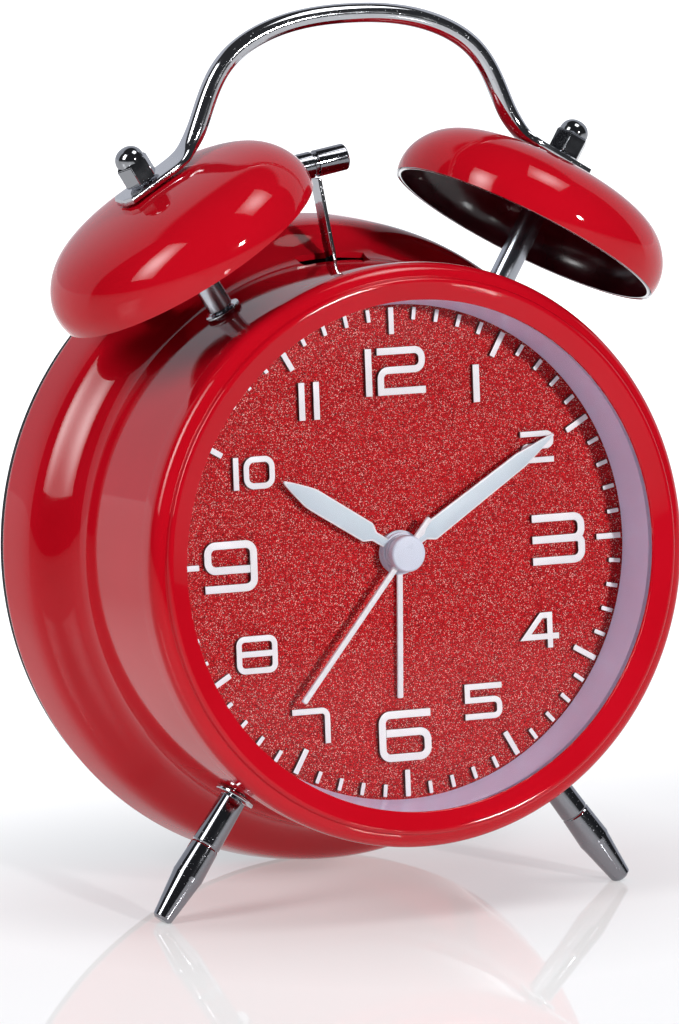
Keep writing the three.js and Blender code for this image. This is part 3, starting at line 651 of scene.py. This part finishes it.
def glyph(digit, wide, tall, pen):
    """Strokes of one digit centred on the origin, inside wide by tall."""
    x = (wide - pen) / 2
    z = (tall - pen) / 2
    edge = pen / 2 + 0.03  # stops a stroke just short of the one it meets
    bend = min(x, z) * 0.62
    tight = min(x, z) * 0.4
    end = wide / 2
    if digit == "1":
        return [([(0, tall / 2), (0, -tall / 2)], False)]
    if digit == "0":
        return [([(-x, -z, bend), (x, -z, bend), (x, z, bend), (-x, z, bend)], True)]
    if digit == "2":
        turns = [(-end, z), (x, z, tight), (x, 0.05 * z, tight), (-x, 0.05 * z, tight), (-x, -z), (end, -z)]
        return [(turns, False)]
    if digit == "3":
        low = [(x - 2 * pen, 0), (x, 0, 0.7 * pen), (x, -z, tight), (-end, -z)]
        return [([(-end, z), (x, z, tight), (x, 0, tight), (-end, 0)], False), (low, False)]
    if digit == "5":
        turns = [(end, z), (-x, z), (-x, 0.1 * z), (x, 0.1 * z, tight), (x, -z, tight), (-end, -z)]
        return [(turns, False)]
    if digit in "69":
        way = 1 if digit == "6" else -1  # a 9 is a 6 turned half round
        turns = [(end, z), (-x, z, tight), (-x, -z, tight), (x, -z, tight), (x, 0.15 * z, tight),
                 (edge - x, 0.15 * z)]
        return [([(way * point[0], way * point[1], *point[2:]) for point in turns], False)]
    if digit == "7":
        return [([(-end, z), (x, z, tight), (x, -tall / 2)], False)]
    if digit == "8":
        loop = [(-x, -z, tight), (x, -z, tight), (x, z, tight), (-x, z, tight)]
        return [(loop, True), ([(-x, 0.05 * z), (x, 0.05 * z)], False)]
    stem = 0.25 * wide
    bar = -0.42 * z
    sail = [(stem, z), (0.02 * wide, z), (-x, bar), (stem, bar)]
    upright = [(stem, tall / 2), (stem, -tall / 2)]
    return [(upright, False), (sail, False), ([(stem, bar), (end, bar)], False)]


def raised(strokes, pen, place):
    """Strokes as raised lettering on the dial. Each is a hair lower than the last, as they may overlap."""
    meshes = []
    for number, (path, closed) in enumerate(strokes):
        shifted = [(point[0] + place[0], point[1] + place[1], *point[2:]) for point in path]
        meshes.append(cut_out(ribbon(shifted, pen, closed), number * 0.01 - MARK_HEIGHT, -0.02, 0.07, 2))
    return meshes


BIG = {"tall": 8.9, "pen": 1.35}
SMALL = {"tall": 6.3, "pen": 1.05}
# hour: (centre, then one (digit, shift to the right, width) for each digit, and the size)
NUMERALS = {
    "12": ((0.35, 31.65), [("1", -5.0, 1.35), ("2", 1.25, 9.2)], {"tall": 8.3, "pen": 1.25}),
    "1": ((15.9, 28.5), [("1", 0, 1.25)], {"tall": 6.6, "pen": 1.25}),
    "2": ((27.2, 16.6), [("2", 0, 6.4)], {"tall": 5.6, "pen": 1.0}),
    "3": ((30.75, 0.2), [("3", 0, 10.2)], BIG),
    "4": ((26.7, -15.7), [("4", 0, 7.0)], SMALL),
    "5": ((15.1, -27.25), [("5", 0, 7.2)], SMALL),
    "6": ((-0.2, -32.1), [("6", 0, 10.0)], BIG),
    "7": ((-18.0, -29.1), [("7", 0, 7.2)], SMALL),
    "8": ((-27.8, -15.8), [("8", 0, 7.8)], {"tall": 6.6, "pen": 1.05}),
    "9": ((-32.1, -0.2), [("9", 0, 10.0)], BIG),
    "10": ((-27.2, 15.75), [("1", -3.3, 1.05), ("0", 1.1, 5.9)], {"tall": 5.7, "pen": 1.05}),
    "11": ((-16.15, 27.45), [("1", -1.4, 1.15), ("1", 1.4, 1.15)], {"tall": 6.6, "pen": 1.15}),
}


def front_face(face):
    """Whether a face looks to the front of the clock."""
    return face.normal.y < -0.6


def numeral(hour):
    """The raised digits of one hour, white in front, with near-black painted shade round their sides."""
    centre, digits, size = NUMERALS[hour]
    meshes = []
    for digit, shift, wide in digits:
        strokes = glyph(digit, wide, size["tall"], size["pen"])
        meshes += raised(strokes, size["pen"], (centre[0] + shift, centre[1]))
    return painted(joined(*meshes), 1, front_face)


for hour in NUMERALS:
    piece("numeral_" + hour, numeral(hour), "mark_side mark_white")


def minute_marks():
    """Sixty raised bars round the dial's edge, longer and wider at the hours."""
    meshes = []
    for minute in range(60):
        at_hour = minute % 5 == 0
        inner = 38.1 if at_hour else 40.6
        half = 0.5 if at_hour else 0.37
        bar = cut_out([rectangle(-half, half, inner, 42.8, 0.15)], -MARK_HEIGHT, -0.02, 0.07, 2)
        meshes.append(moved(bar, Matrix.Rotation(math.tau * minute / 60, 4, "Y")))
    # the front faces take the white; the sides keep a near-black painted shade
    return painted(joined(*meshes), 1, front_face)


piece("minute_marks", minute_marks(), "mark_side mark_white")


# ---- Hands ----
def leaf(neck, shoulder, half_in, taper, half_out, tip, inset=0.0):
    """Half widths along a hand: a slim neck, shoulders, an even blade and a long curved point."""
    start = shoulder + inset * 0.6
    right = [
        (neck - inset, 0), (neck - inset, start - 1.1, 0.5), (half_in - inset, start + 0.35, 0.7),
        (half_out - inset, taper, 6), (half_out * 0.42 - inset * 0.7, (taper + 2.4 * tip) / 3.4, 5),
        (0.22 - inset * 0.4, tip - inset * 2.2, 0.12),
    ]
    left = [(-point[0], *point[1:]) for point in right[::-1]]
    return rounded(right + left)


def blade(outline, fill, y0, y1, rim=0.1):
    """A white-rimmed blade with a pale panel set into its face."""
    body = cut_out([outline], y0, y1, rim)
    if fill is None:
        return body
    panel = painted(cut_out([fill], y0 - 0.03, y0 + 0.1, 0.02, 1), 1)
    return joined(body, panel)


HANDS = {
    "alarm_hand": {"turn": 182, "hub": 3.9, "bore": 2.65, "y0": -1.0, "y1": -0.5, "bar": (0.55, 0, 25.5)},
    "hour_hand": {"turn": 302.3, "hub": 3.6, "bore": 1.9, "y0": -1.8, "y1": -1.3,
                  "leaf": (0.85, 7.1, 1.85, 20, 1.9, 25.9)},
    "minute_hand": {"turn": 57.7, "hub": 3.3, "bore": 1.2, "y0": -2.6, "y1": -2.1,
                    "leaf": (0.65, 6, 1.78, 27.5, 1.45, 35.1)},
    "second_hand": {"turn": 219.7, "hub": 3.2, "y0": -3.6, "y1": -2.9, "bar": (0.52, 7.6, 32), "cap": -4.8},
}
INSET = 0.27  # from a blade's edge to its pale panel


def hand(spec):
    """A hand's stick and its round boss, turned to the hour it shows."""
    y0 = spec["y0"]
    y1 = spec["y1"]
    if "leaf" in spec:
        stick = blade(leaf(*spec["leaf"]), leaf(*spec["leaf"], INSET), y0, y1)
    else:
        half, tail, tip = spec["bar"]
        stick = blade(rectangle(-half, half, -tail, tip, 0.3), None, y0, y1, 0.18)
    if "cap" in spec:
        hub = spec["hub"]
        cap = spec["cap"]
        boss = lathe(rounded([(0, cap), (hub, cap, 0.45), (hub, y1, 0.15), (0, y1)], False), segments=96)
    else:
        boss = lathe(washer(spec["bore"], spec["hub"], y0 - 0.1, y1, 0.12), True, 96)
    whole = joined(stick, painted(boss, 2))
    return moved(whole, Matrix.Rotation(math.radians(spec["turn"]), 4, "Y"))


for name, spec in HANDS.items():
    piece(name + "_surface", hand(spec), "hand_white hand_blue hub_white", name)


# ---- Bells, posts, nuts ----
BELL_DOME = [
    (25, 0), (25.35, 1.6), (25.25, 3.7), (24.6, 5.8), (23.1, 8.2), (20.8, 10.3), (17.4, 11.85), (13, 12.9),
    (8, 13.55), (3, 13.8), (1.8, BELL_HEIGHT),
]
BELL_WALL = 0.9


def bell():
    """A pressed dome, red outside and dark inside, with a bright raw edge."""
    outside = [tuple(point) for point in b_spline(BELL_DOME)]
    inside = []
    for radius, height in outside[::-1]:
        share = height / BELL_HEIGHT
        inside.append((max(radius - BELL_WALL * (1 - share ** 4), 1.8), height - BELL_WALL * share ** 0.5))
    lip = rounded([inside[-1], (inside[-1][0] + 0.05, -0.02, 0.3), (25.02, -0.02, 0.3), outside[0]], False)
    profile = outside + inside + [tuple(point) for point in lip[1:-1]]
    dome = len(outside)
    edge = dome + len(inside)

    def paint(step):
        if step < dome - 1:
            return 0
        return 1 if step < edge - 1 else 2

    return lathe([(radius, BELL_BASE + height) for radius, height in profile], True, 192, paint)


def post():
    """A turned post with a thin threaded end through the case and another through the bell."""
    outline = [
        (0, STUD_END), (1.5, STUD_END), (1.5, DRUM_R + 1.1), (2.3, DRUM_R + 1.1, 0.25),
        (2.3, BELL_BASE + 12.4, 0.2), (1.5, BELL_BASE + 12.4), (1.5, NUT_BASE + 3.8), (0, NUT_BASE + 3.8),
    ]
    return lathe(rounded(outline, False), segments=64)


def prism(outline, levels):
    """A many-sided bar along Y; each level is a depth and the outline's scale there."""
    mesh = skin([[(x * scale, y, z * scale) for x, z in outline] for y, scale in levels])
    bmesh.ops.bevel(mesh, geom=mesh.edges, offset=0.12, segments=2, affect="EDGES")
    return mesh


def cap_nut():
    """An acorn nut: a chamfered hexagon and a polished dome."""
    hexagon = circle(5.5 / math.sqrt(3), 6)
    levels = [(0, 0.94), (0.3, 1), (3.7, 1), (4.15, 0.86)]
    base = prism(hexagon, [(NUT_BASE + height, scale) for height, scale in levels])
    low = NUT_BASE + 3.6
    top = NUT_BASE + 6.6
    dome = rounded([(0, low), (2.6, low), (2.6, top, 2.3), (0, top)], False, math.radians(6))
    return joined(base, lathe(dome, segments=64))


for name, side in SIDES.items():
    turn = radial(side * BELL_ANGLE, BELL_Y)
    ring = lathe(washer(1.8, 3.3, DRUM_R + 0.3, DRUM_R + 0.8, 0.15), True, 64)
    piece("bell_surface_" + name, moved(bell(), turn), "red_paint bell_inside dark_chrome",
          "bell_" + name, 50)
    piece("post_surface_" + name, moved(post(), turn), "post_chrome", "bell_post_" + name)
    piece("post_washer_surface_" + name, moved(ring, turn), "chrome", "post_washer_" + name)
    piece("cap_nut_surface_" + name, moved(cap_nut(), turn), "nut_chrome", "cap_nut_" + name)


# ---- Handle ----
def on_bell(distance, lift=0.0):
    """A point of the handle's centreline over the right bell, distance outwards from the bell's axis."""
    seat = STRAP_BOTTOM + STRAP_T / 2 + lift
    return Vector((seat * math.sin(BELL_ANGLE) + distance * math.cos(BELL_ANGLE),
                   seat * math.cos(BELL_ANGLE) - distance * math.sin(BELL_ANGLE)))


def handle():
    """A bent rod whose ends are pressed flat where the nuts clamp them to the bells."""
    rod = [
        (0, 93.7), (6, 93.5), (12, 92.6), (17.5, 90.8), (22.1, 88.2), (25.3, 84.9), (27.4, 80.9),
        (28.8, 77.3), (29.9, 74.6),
    ]
    # each station: place, half thickness, half width, and how square the section is
    stations = [(Vector(place), HANDLE_R, HANDLE_R, 2.0) for place in rod]
    flat = STRAP_T / 2
    wide = STRAP_W / 2
    stations += [(on_bell(-10.2, 0.9), 1.5, 2.1, 2.2), (on_bell(-8.6, 0.25), 1.05, 2.9, 3.0)]
    stations += [(on_bell(-7), flat, wide, 7.0)]
    stations += [(on_bell(distance), flat, wide, 9.0) for distance in (-4, 0, 4)]
    mirrored = [(Vector((-place.x, place.y)), *rest) for place, *rest in stations[:0:-1]]
    controls = [Vector((place.x, place.y, *rest)) for place, *rest in mirrored + stations]
    line = b_spline(controls, 6)
    tip = [(4.6, wide, flat), (5.5, 1.9, flat), (5.6, 1.7, flat * 0.8)]
    for side, where in ((1, len(line)), (-1, 0)):
        for distance, half, thick in tip[::-1] if side < 0 else tip:
            place = on_bell(distance)
            line.insert(where, Vector((side * place.x, place.y, thick, half, 9.0)))
            where += 1
    sides = 40
    rings = []
    for index, station in enumerate(line):
        before = line[max(index - 1, 0)]
        after = line[min(index + 1, len(line) - 1)]
        along = Vector((after[0] - before[0], after[1] - before[1])).normalized()
        normal = Vector((-along.y, along.x))
        ring = []
        for corner in range(sides):
            angle = math.tau * corner / sides
            power = 2 / station[4]
            out = math.copysign(abs(math.sin(angle)) ** power, math.sin(angle)) * station[2]
            across = math.copysign(abs(math.cos(angle)) ** power, math.cos(angle)) * station[3]
            x = station[0] + normal.x * out
            z = station[1] + normal.y * out
            ring.append((x, BELL_Y + across, z))
        rings.append(ring)
    return skin(rings)


piece("handle_surface", handle(), "chrome", "handle", 40)


# ---- Feet ----
def foot(side):
    """A turned foot with a fine groove and a long taper; its tip is cut level with the floor."""
    outline = [
        (0, STUD_END), (1.5, STUD_END), (1.5, DRUM_R + 1.2), (2.4, DRUM_R + 1.2, 0.2), (2.58, 60.5, 0.15),
        (2.4, 60.8, 0.1), (2.6, 61.1, 0.15), (2.85, 66.9, 0.6), (2.72, 67.7, 0.3),
        (1.8, FOOT_END - 0.4, 0.35), (1.3, FOOT_END), (0, FOOT_END),
    ]
    mesh = lathe(rounded(outline, False), segments=72)
    mesh.transform(radial(math.pi - side * FOOT_ANGLE, FOOT_Y))
    floor_up = UPRIGHT.inverted() @ Vector((0, 0, 1))
    floor_point = CLOCK.inverted() @ Vector((0, 0, 0))
    geometry = mesh.verts[:] + mesh.edges[:] + mesh.faces[:]
    cut = bmesh.ops.bisect_plane(mesh, geom=geometry, plane_co=floor_point, plane_no=floor_up,
                                 clear_inner=True)
    edges = [item for item in cut["geom_cut"] if isinstance(item, bmesh.types.BMEdge)]
    bmesh.ops.edgeloop_fill(mesh, edges=edges)
    bmesh.ops.recalc_face_normals(mesh, faces=mesh.faces)
    return mesh


for name, side in SIDES.items():
    piece("foot_surface_" + name, foot(side), "dark_nickel", "foot_" + name)
    ring = lathe(washer(1.8, 3.7, DRUM_R + 0.3, DRUM_R + 0.9, 0.18), True, 64)
    ring.transform(radial(math.pi - side * FOOT_ANGLE, FOOT_Y))
    piece("foot_washer_surface_" + name, ring, "chrome", "foot_washer_" + name)


# ---- Hammer ----
HAMMER = Matrix.Translation((0, HAMMER_Y, HAMMER_PIVOT_Z)) @ Matrix.Rotation(HAMMER_TILT, 4, "Y")


def hammer_head():
    """A plated barrel, grooved round its middle, where the strip meets it."""
    half = 6.2
    profile = rounded([
        (0, -half), (2.4, -half, 0.35), (2.4, -0.45, 0.12), (2.05, -0.3, 0.08), (2.05, 0.3, 0.08),
        (2.4, 0.45, 0.12), (2.4, half, 0.35), (0, half),
    ], False)
    barrel = moved(lathe(profile, segments=72), Matrix.Rotation(math.pi / 2, 4, "Z"))
    return moved(barrel, HAMMER @ at((0, HAMMER_REACH)))


def hammer_arm():
    """The flat strip, its hub on the pivot pin, and the fork that the cam's pin moves in."""
    strip = moved(cut_out([rectangle(-1.75, 1.75, 1, HAMMER_REACH - 2.45, 0.3)], -0.35, 0.35, 0.1),
                  Matrix.Rotation(math.pi / 2, 4, "Z"))
    hub = lathe(washer(1.2, 2.6, -2.4, 2.4, 0.2), True, 48)
    left = [(-1, -1.9), (-1, -4), (-6.4, -4, 1.2), (-6.4, -15, 0.4), (-5.4, -15, 0.4), (-5.4, -5.4, 0.6)]
    right = [(-point[0], *point[1:]) for point in left[::-1]]
    fork = cut_out([rounded(left + right)], -0.9, 0.9, 0.15)
    return moved(joined(strip, hub, fork), HAMMER)


piece("hammer_head_surface", hammer_head(), "dark_nickel", "hammer_head")
piece("hammer_arm_surface", hammer_arm(), "chrome", "hammer_arm")


# ---- Back cover and what is on it ----
TIME_KNOB = (14.96, 9.53)
ALARM_KNOB = (-10.72, 9.0)
SWITCH = {"x": -34, "z": 24, "travel": 4}
LIGHT = {"x": 34, "z": 24, "r": 4.2}
DOOR = {"half": 27.6, "top": -10.2, "bottom": -41.0, "gap": 0.35}
WELL = {"half": 29.5, "top": -9.5, "bottom": -41.5, "front": 26, "wall": 1.2}
SCREW_DEGREES = (90, 205, 335)
SCREW_RING_R = 51.5
CELL_Y = 34.6


def ridge(inner, outer, height, corner, segments):
    """A low round ridge on the back cover."""
    foot_y = COVER_BACK - 0.1
    crest_y = COVER_BACK + height
    crest = [(inner, crest_y, corner), (outer, crest_y, corner)]
    return lathe(rounded([(inner - 0.2, foot_y)] + crest + [(outer + 0.2, foot_y)]), True, segments)


def back_cover():
    """A grained disc with low ridges, holes for the controls, and the battery bay behind it."""
    light = (LIGHT["x"], LIGHT["z"])
    half = DOOR["half"] + DOOR["gap"]
    wide = WELL["half"]
    wall = WELL["wall"]
    x = SWITCH["x"]
    z = SWITCH["z"]
    holes = [
        circle(1.45, 32, TIME_KNOB), circle(1.45, 32, ALARM_KNOB), circle(LIGHT["r"] + 0.3, 64, light),
        rectangle(x - 2, x + 2 + SWITCH["travel"], z - 1.7, z + 1.7, 0.5),
        rectangle(-half, half, DOOR["bottom"] - DOOR["gap"], DOOR["top"] + DOOR["gap"], 0.6),
    ]
    holes += [circle(1.6, 32, polar(SCREW_RING_R, degrees)) for degrees in SCREW_DEGREES]
    plate = cut_out([circle(COVER_R, 220)] + holes, COVER_Y, COVER_BACK, 0.3)
    dishes = [moved(ridge(7.8, 8.7, 0.4, 0.2, 96), at(place)) for place in (TIME_KNOB, ALARM_KNOB)]
    sides = cut_out([
        rectangle(-wide, wide, WELL["bottom"], WELL["top"], 1.5),
        rectangle(wall - wide, wide - wall, WELL["bottom"] + wall, WELL["top"] - wall, 1.0),
    ], WELL["front"], COVER_Y - 0.05, 0.1)
    bed = cut_out([rectangle(1 - wide, wide - 1, WELL["bottom"] + 1, WELL["top"] - 1, 1.2)],
                  WELL["front"] + 0.1, WELL["front"] + wall, 0.1)
    return joined(plate, sides, bed, ridge(46.9, 47.5, 0.35, 0.15, 200), *dishes)


def knob(place):
    """A fluted setting knob with a raised rim."""
    flutes = 22
    outline = []
    for x, z in circle(1, flutes * 10):
        reach = 6.25 + 0.25 * math.cos(flutes * math.atan2(z, x))
        outline.append((reach * x, reach * z))
    grip = cut_out([outline], COVER_BACK + 0.5, COVER_BACK + 4.6, 0.5)
    base = COVER_BACK + 4.5
    crest = COVER_BACK + 4.9
    rim = lathe(rounded([(4.2, base), (4.4, crest, 0.15), (5.2, crest, 0.15), (5.4, base)]), True, 96)
    shaft = lathe(disc(1.1, 30, COVER_BACK + 1, 0.1), segments=32)
    return moved(joined(grip, rim, shaft), at(place))


def alarm_switch():
    """The slider's ribbed thumb piece and its foot inside the cover."""
    x = SWITCH["x"]
    z = SWITCH["z"]
    stem = cut_out([rectangle(x - 1.6, x + 1.6, z - 1.3, z + 1.3, 0.3)], COVER_Y - 2, COVER_BACK + 1.9, 0.2)
    ribs = [cut_out([rectangle(x + shift - 0.3, x + shift + 0.3, z - 1.2, z + 1.2, 0.2)], COVER_BACK + 1.6,
                    COVER_BACK + 2.4, 0.15) for shift in (-1.1, 0, 1.1)]
    foot_plate = cut_out([rectangle(x - 2.6, x + 2.6, z - 2.6, z + 2.6, 0.3)],
                         COVER_Y - 3, COVER_Y - 0.3, 0.1)
    return joined(stem, foot_plate, *ribs)


def light_button():
    """A round button with a dished top and a flange under the cover."""
    radius = LIGHT["r"]
    flange = COVER_Y - 0.3
    top = COVER_BACK + 2
    outline = [
        (0, COVER_Y - 3), (radius + 1, COVER_Y - 3), (radius + 1, flange), (radius, flange),
        (radius, top, 0.7), (radius * 0.6, top, 0.3), (radius * 0.4, top - 0.25), (0, top - 0.3),
    ]
    return moved(lathe(rounded(outline, False), segments=96), at((LIGHT["x"], LIGHT["z"])))


def battery_door():
    """The door panel with a raised frame and grip ribs below its latch edge."""
    half = DOOR["half"]
    panel = cut_out([rectangle(-half, half, DOOR["bottom"] + 0.1, DOOR["top"], 0.5)],
                    COVER_BACK - 1.38, COVER_BACK, 0.2)
    ribs = [cut_out([rectangle(-7, 7, z - 0.35, z + 0.35, 0.34)], COVER_BACK - 0.1, COVER_BACK + 0.45, 0.2)
            for z in (-13.4, -15.0, -16.6, -18.2)]
    frame_bar = cut_out([rectangle(-half + 2.2, half - 2.2, DOOR["bottom"] + 2.4, DOOR["top"] - 1.6, 1.2),
                         rectangle(-half + 3, half - 3, DOOR["bottom"] + 3.2, DOOR["top"] - 2.4, 0.8)],
                        COVER_BACK - 0.1, COVER_BACK + 0.2, 0.1)
    return joined(panel, frame_bar, *ribs)


def cover_screw(place):
    """A pan-head screw with a straight slot."""
    base = COVER_BACK + 0.3
    top = base + 1.2
    head = lathe(rounded([(0, base), (2.7, base, 0.15), (2.7, top, 0.95), (0, top)], False), segments=64)
    shank = lathe(disc(1.2, 35.5, base + 0.2, 0.1), segments=32)
    groove = cut_out([rectangle(-3, 3, -0.35, 0.35)], top - 0.7, top + 1.8)
    return moved(cut_by(joined(head, shank), groove), at(place))


piece("back_cover_surface", back_cover(), "black_plastic", "back_cover")
piece("time_knob_surface", knob(TIME_KNOB), "black_gloss", "time_set_knob")
piece("alarm_knob_surface", knob(ALARM_KNOB), "black_gloss", "alarm_set_knob")
piece("alarm_switch_surface", alarm_switch(), "black_gloss", "alarm_switch")
piece("light_button_surface", light_button(), "black_gloss", "light_button")
piece("battery_door_surface", battery_door(), "black_plastic", "battery_door")
for number, degrees in enumerate(SCREW_DEGREES, 1):
    screw = cover_screw(polar(SCREW_RING_R, degrees))
    piece(f"cover_screw_surface_{number}", screw, "plain_steel", f"cover_screw_{number}")


# ---- Cells ----
def cell(side, z):
    """An AA cell lying along X: coloured wrap, a pale band and steel ends."""
    end = 24.6
    outline = rounded([
        (0, -end), (6.4, -end, 0.2), (7, -end + 0.5, 0.3), (7, end - 1.5, 0.5), (6.2, end - 1.2, 0.1),
        (2.6, end - 1.2), (2.6, end, 0.4), (0, end),
    ], False)
    body = lathe(outline, segments=96)
    painted(body, 1, lambda face: abs(face.calc_center_median().y + end * 0.62) < 2.2)
    painted(body, 2, lambda face: abs(face.calc_center_median().y) > end - 1.4)
    return moved(body, Matrix.Translation((0, CELL_Y, z)) @ Matrix.Rotation(-side * math.pi / 2, 4, "Z"))


for name, side, z in (("upper", 1, -17.9), ("lower", -1, -33.1)):
    piece("cell_surface_" + name, cell(side, z), "cell_wrap cell_band plain_steel", "aa_cell_" + name)

# ---- CAD pieces that stay: each takes the finish its record names ----
for name, node in frame["nodes"].items():
    if not node.hide_render:
        node.data.materials.clear()
        node.data.materials.append(MATERIALS[NODE_SLOT[name]])


# ---- Studio ----
def floor():
    """A pale glossy table top that runs out of sight."""
    half = 6.0
    mesh = bmesh.new()
    bmesh.ops.create_grid(mesh, x_segments=24, y_segments=24, size=half)
    data = as_data("floor", mesh)
    data.materials.append(MATERIALS["floor_white"])
    in_scene("floor", data)


def direction(azimuth, elevation):
    """Unit vector from the clock: azimuth 0 is in front of it and 90 to its right."""
    a = math.radians(azimuth)
    e = math.radians(elevation)
    return Vector((math.sin(a) * math.cos(e), -math.cos(a) * math.cos(e), math.sin(e)))


def lamp(name, azimuth, elevation, distance, width, height, power):
    """A rectangular soft box, brightest in its middle, that faces the clock."""
    light = bpy.data.lights.new(name, "AREA")
    light.shape = "RECTANGLE"
    light.size = width
    light.size_y = height
    light.energy = power
    light.use_nodes = True
    panel = Network(light.node_tree)
    place = panel.node("NewGeometry", {}).outputs["Parametric"]
    from_centre = panel.compute("VectorMath", "DISTANCE", place, (0.5, 0.5, 0), output="Value")
    glow = panel.spread(from_centre, CENTRE_GLOW, EDGE_GLOW, 0, 0.6, "SMOOTHSTEP")
    panel.feed(panel.tree.nodes["Emission"].inputs["Strength"], glow)
    thing = in_scene(name, light)
    way = direction(azimuth, elevation)
    thing.location = LAMP_AIM + way * distance
    thing.rotation_euler = way.to_track_quat("Z", "Y").to_euler()


def studio_world():
    """A dark room with a lit white wall behind the clock; the gloss shows its soft edges."""
    world = bpy.data.worlds.new("studio")
    world.use_nodes = True
    room = Network(world.node_tree)
    background = room.tree.nodes["Background"]
    way = room.node("TexCoord", {}).outputs["Generated"]
    height = room.node("SeparateXYZ", {0: way}).outputs["Z"]
    toward = room.compute("VectorMath", "DOT_PRODUCT", way, direction(WALL_AZIMUTH, 0), output="Value")
    wall = room.compute("Math", "MULTIPLY", room.spread(toward, 0, 1, 0.24, 0.3, "SMOOTHSTEP"),
                        room.spread(height, 1, 0, 0.7, 0.8, "SMOOTHSTEP"))
    room.feed(background.inputs["Strength"], room.spread(wall, ROOM_LIGHT, WALL_LIGHT, 0, 1, "SMOOTHSTEP"))
    room.feed(background.inputs["Color"], (0.88, 0.91, 1, 1))
    bpy.context.scene.world = world


floor()
studio_world()
lamp("key", 20, 17, 2.0, 0.17, 0.17, 22.5)
lamp("box_right", 55, 67, 2.2, 1.05, 0.9, 14)
lamp("box_left", -76, 33, 2.0, 0.75, 1.4, 23)

# ---- Camera ----
FOCAL = 10000  # focal length over the size of a pixel, in a picture 1024 high
LONG_SIDE = 1024
SENSOR = 36
CAMERA_PLACE = (-721.0, -1577.6, 162.2)
CAMERA_AIM = (-8.74, 4.65, 7.32)
CAMERA_ROLL = math.radians(1.05)


def camera():
    """Stands far off to the clock's left, a little above it, with a long lens."""
    data = bpy.data.cameras.new("camera")
    data.sensor_width = SENSOR
    data.lens = FOCAL * SENSOR / LONG_SIDE
    data.clip_start = 0.05
    data.clip_end = 50
    thing = in_scene("camera", data)
    place = CLOCK @ Vector(CAMERA_PLACE)
    away = place - CLOCK @ Vector(CAMERA_AIM)
    turn = away.to_track_quat("Z", "Y").to_matrix().to_4x4() @ Matrix.Rotation(CAMERA_ROLL, 4, "Z")
    thing.matrix_world = Matrix.Translation(place) @ turn
    bpy.context.scene.camera = thing


camera()
bpy.context.scene.view_settings.view_transform = "Standard"
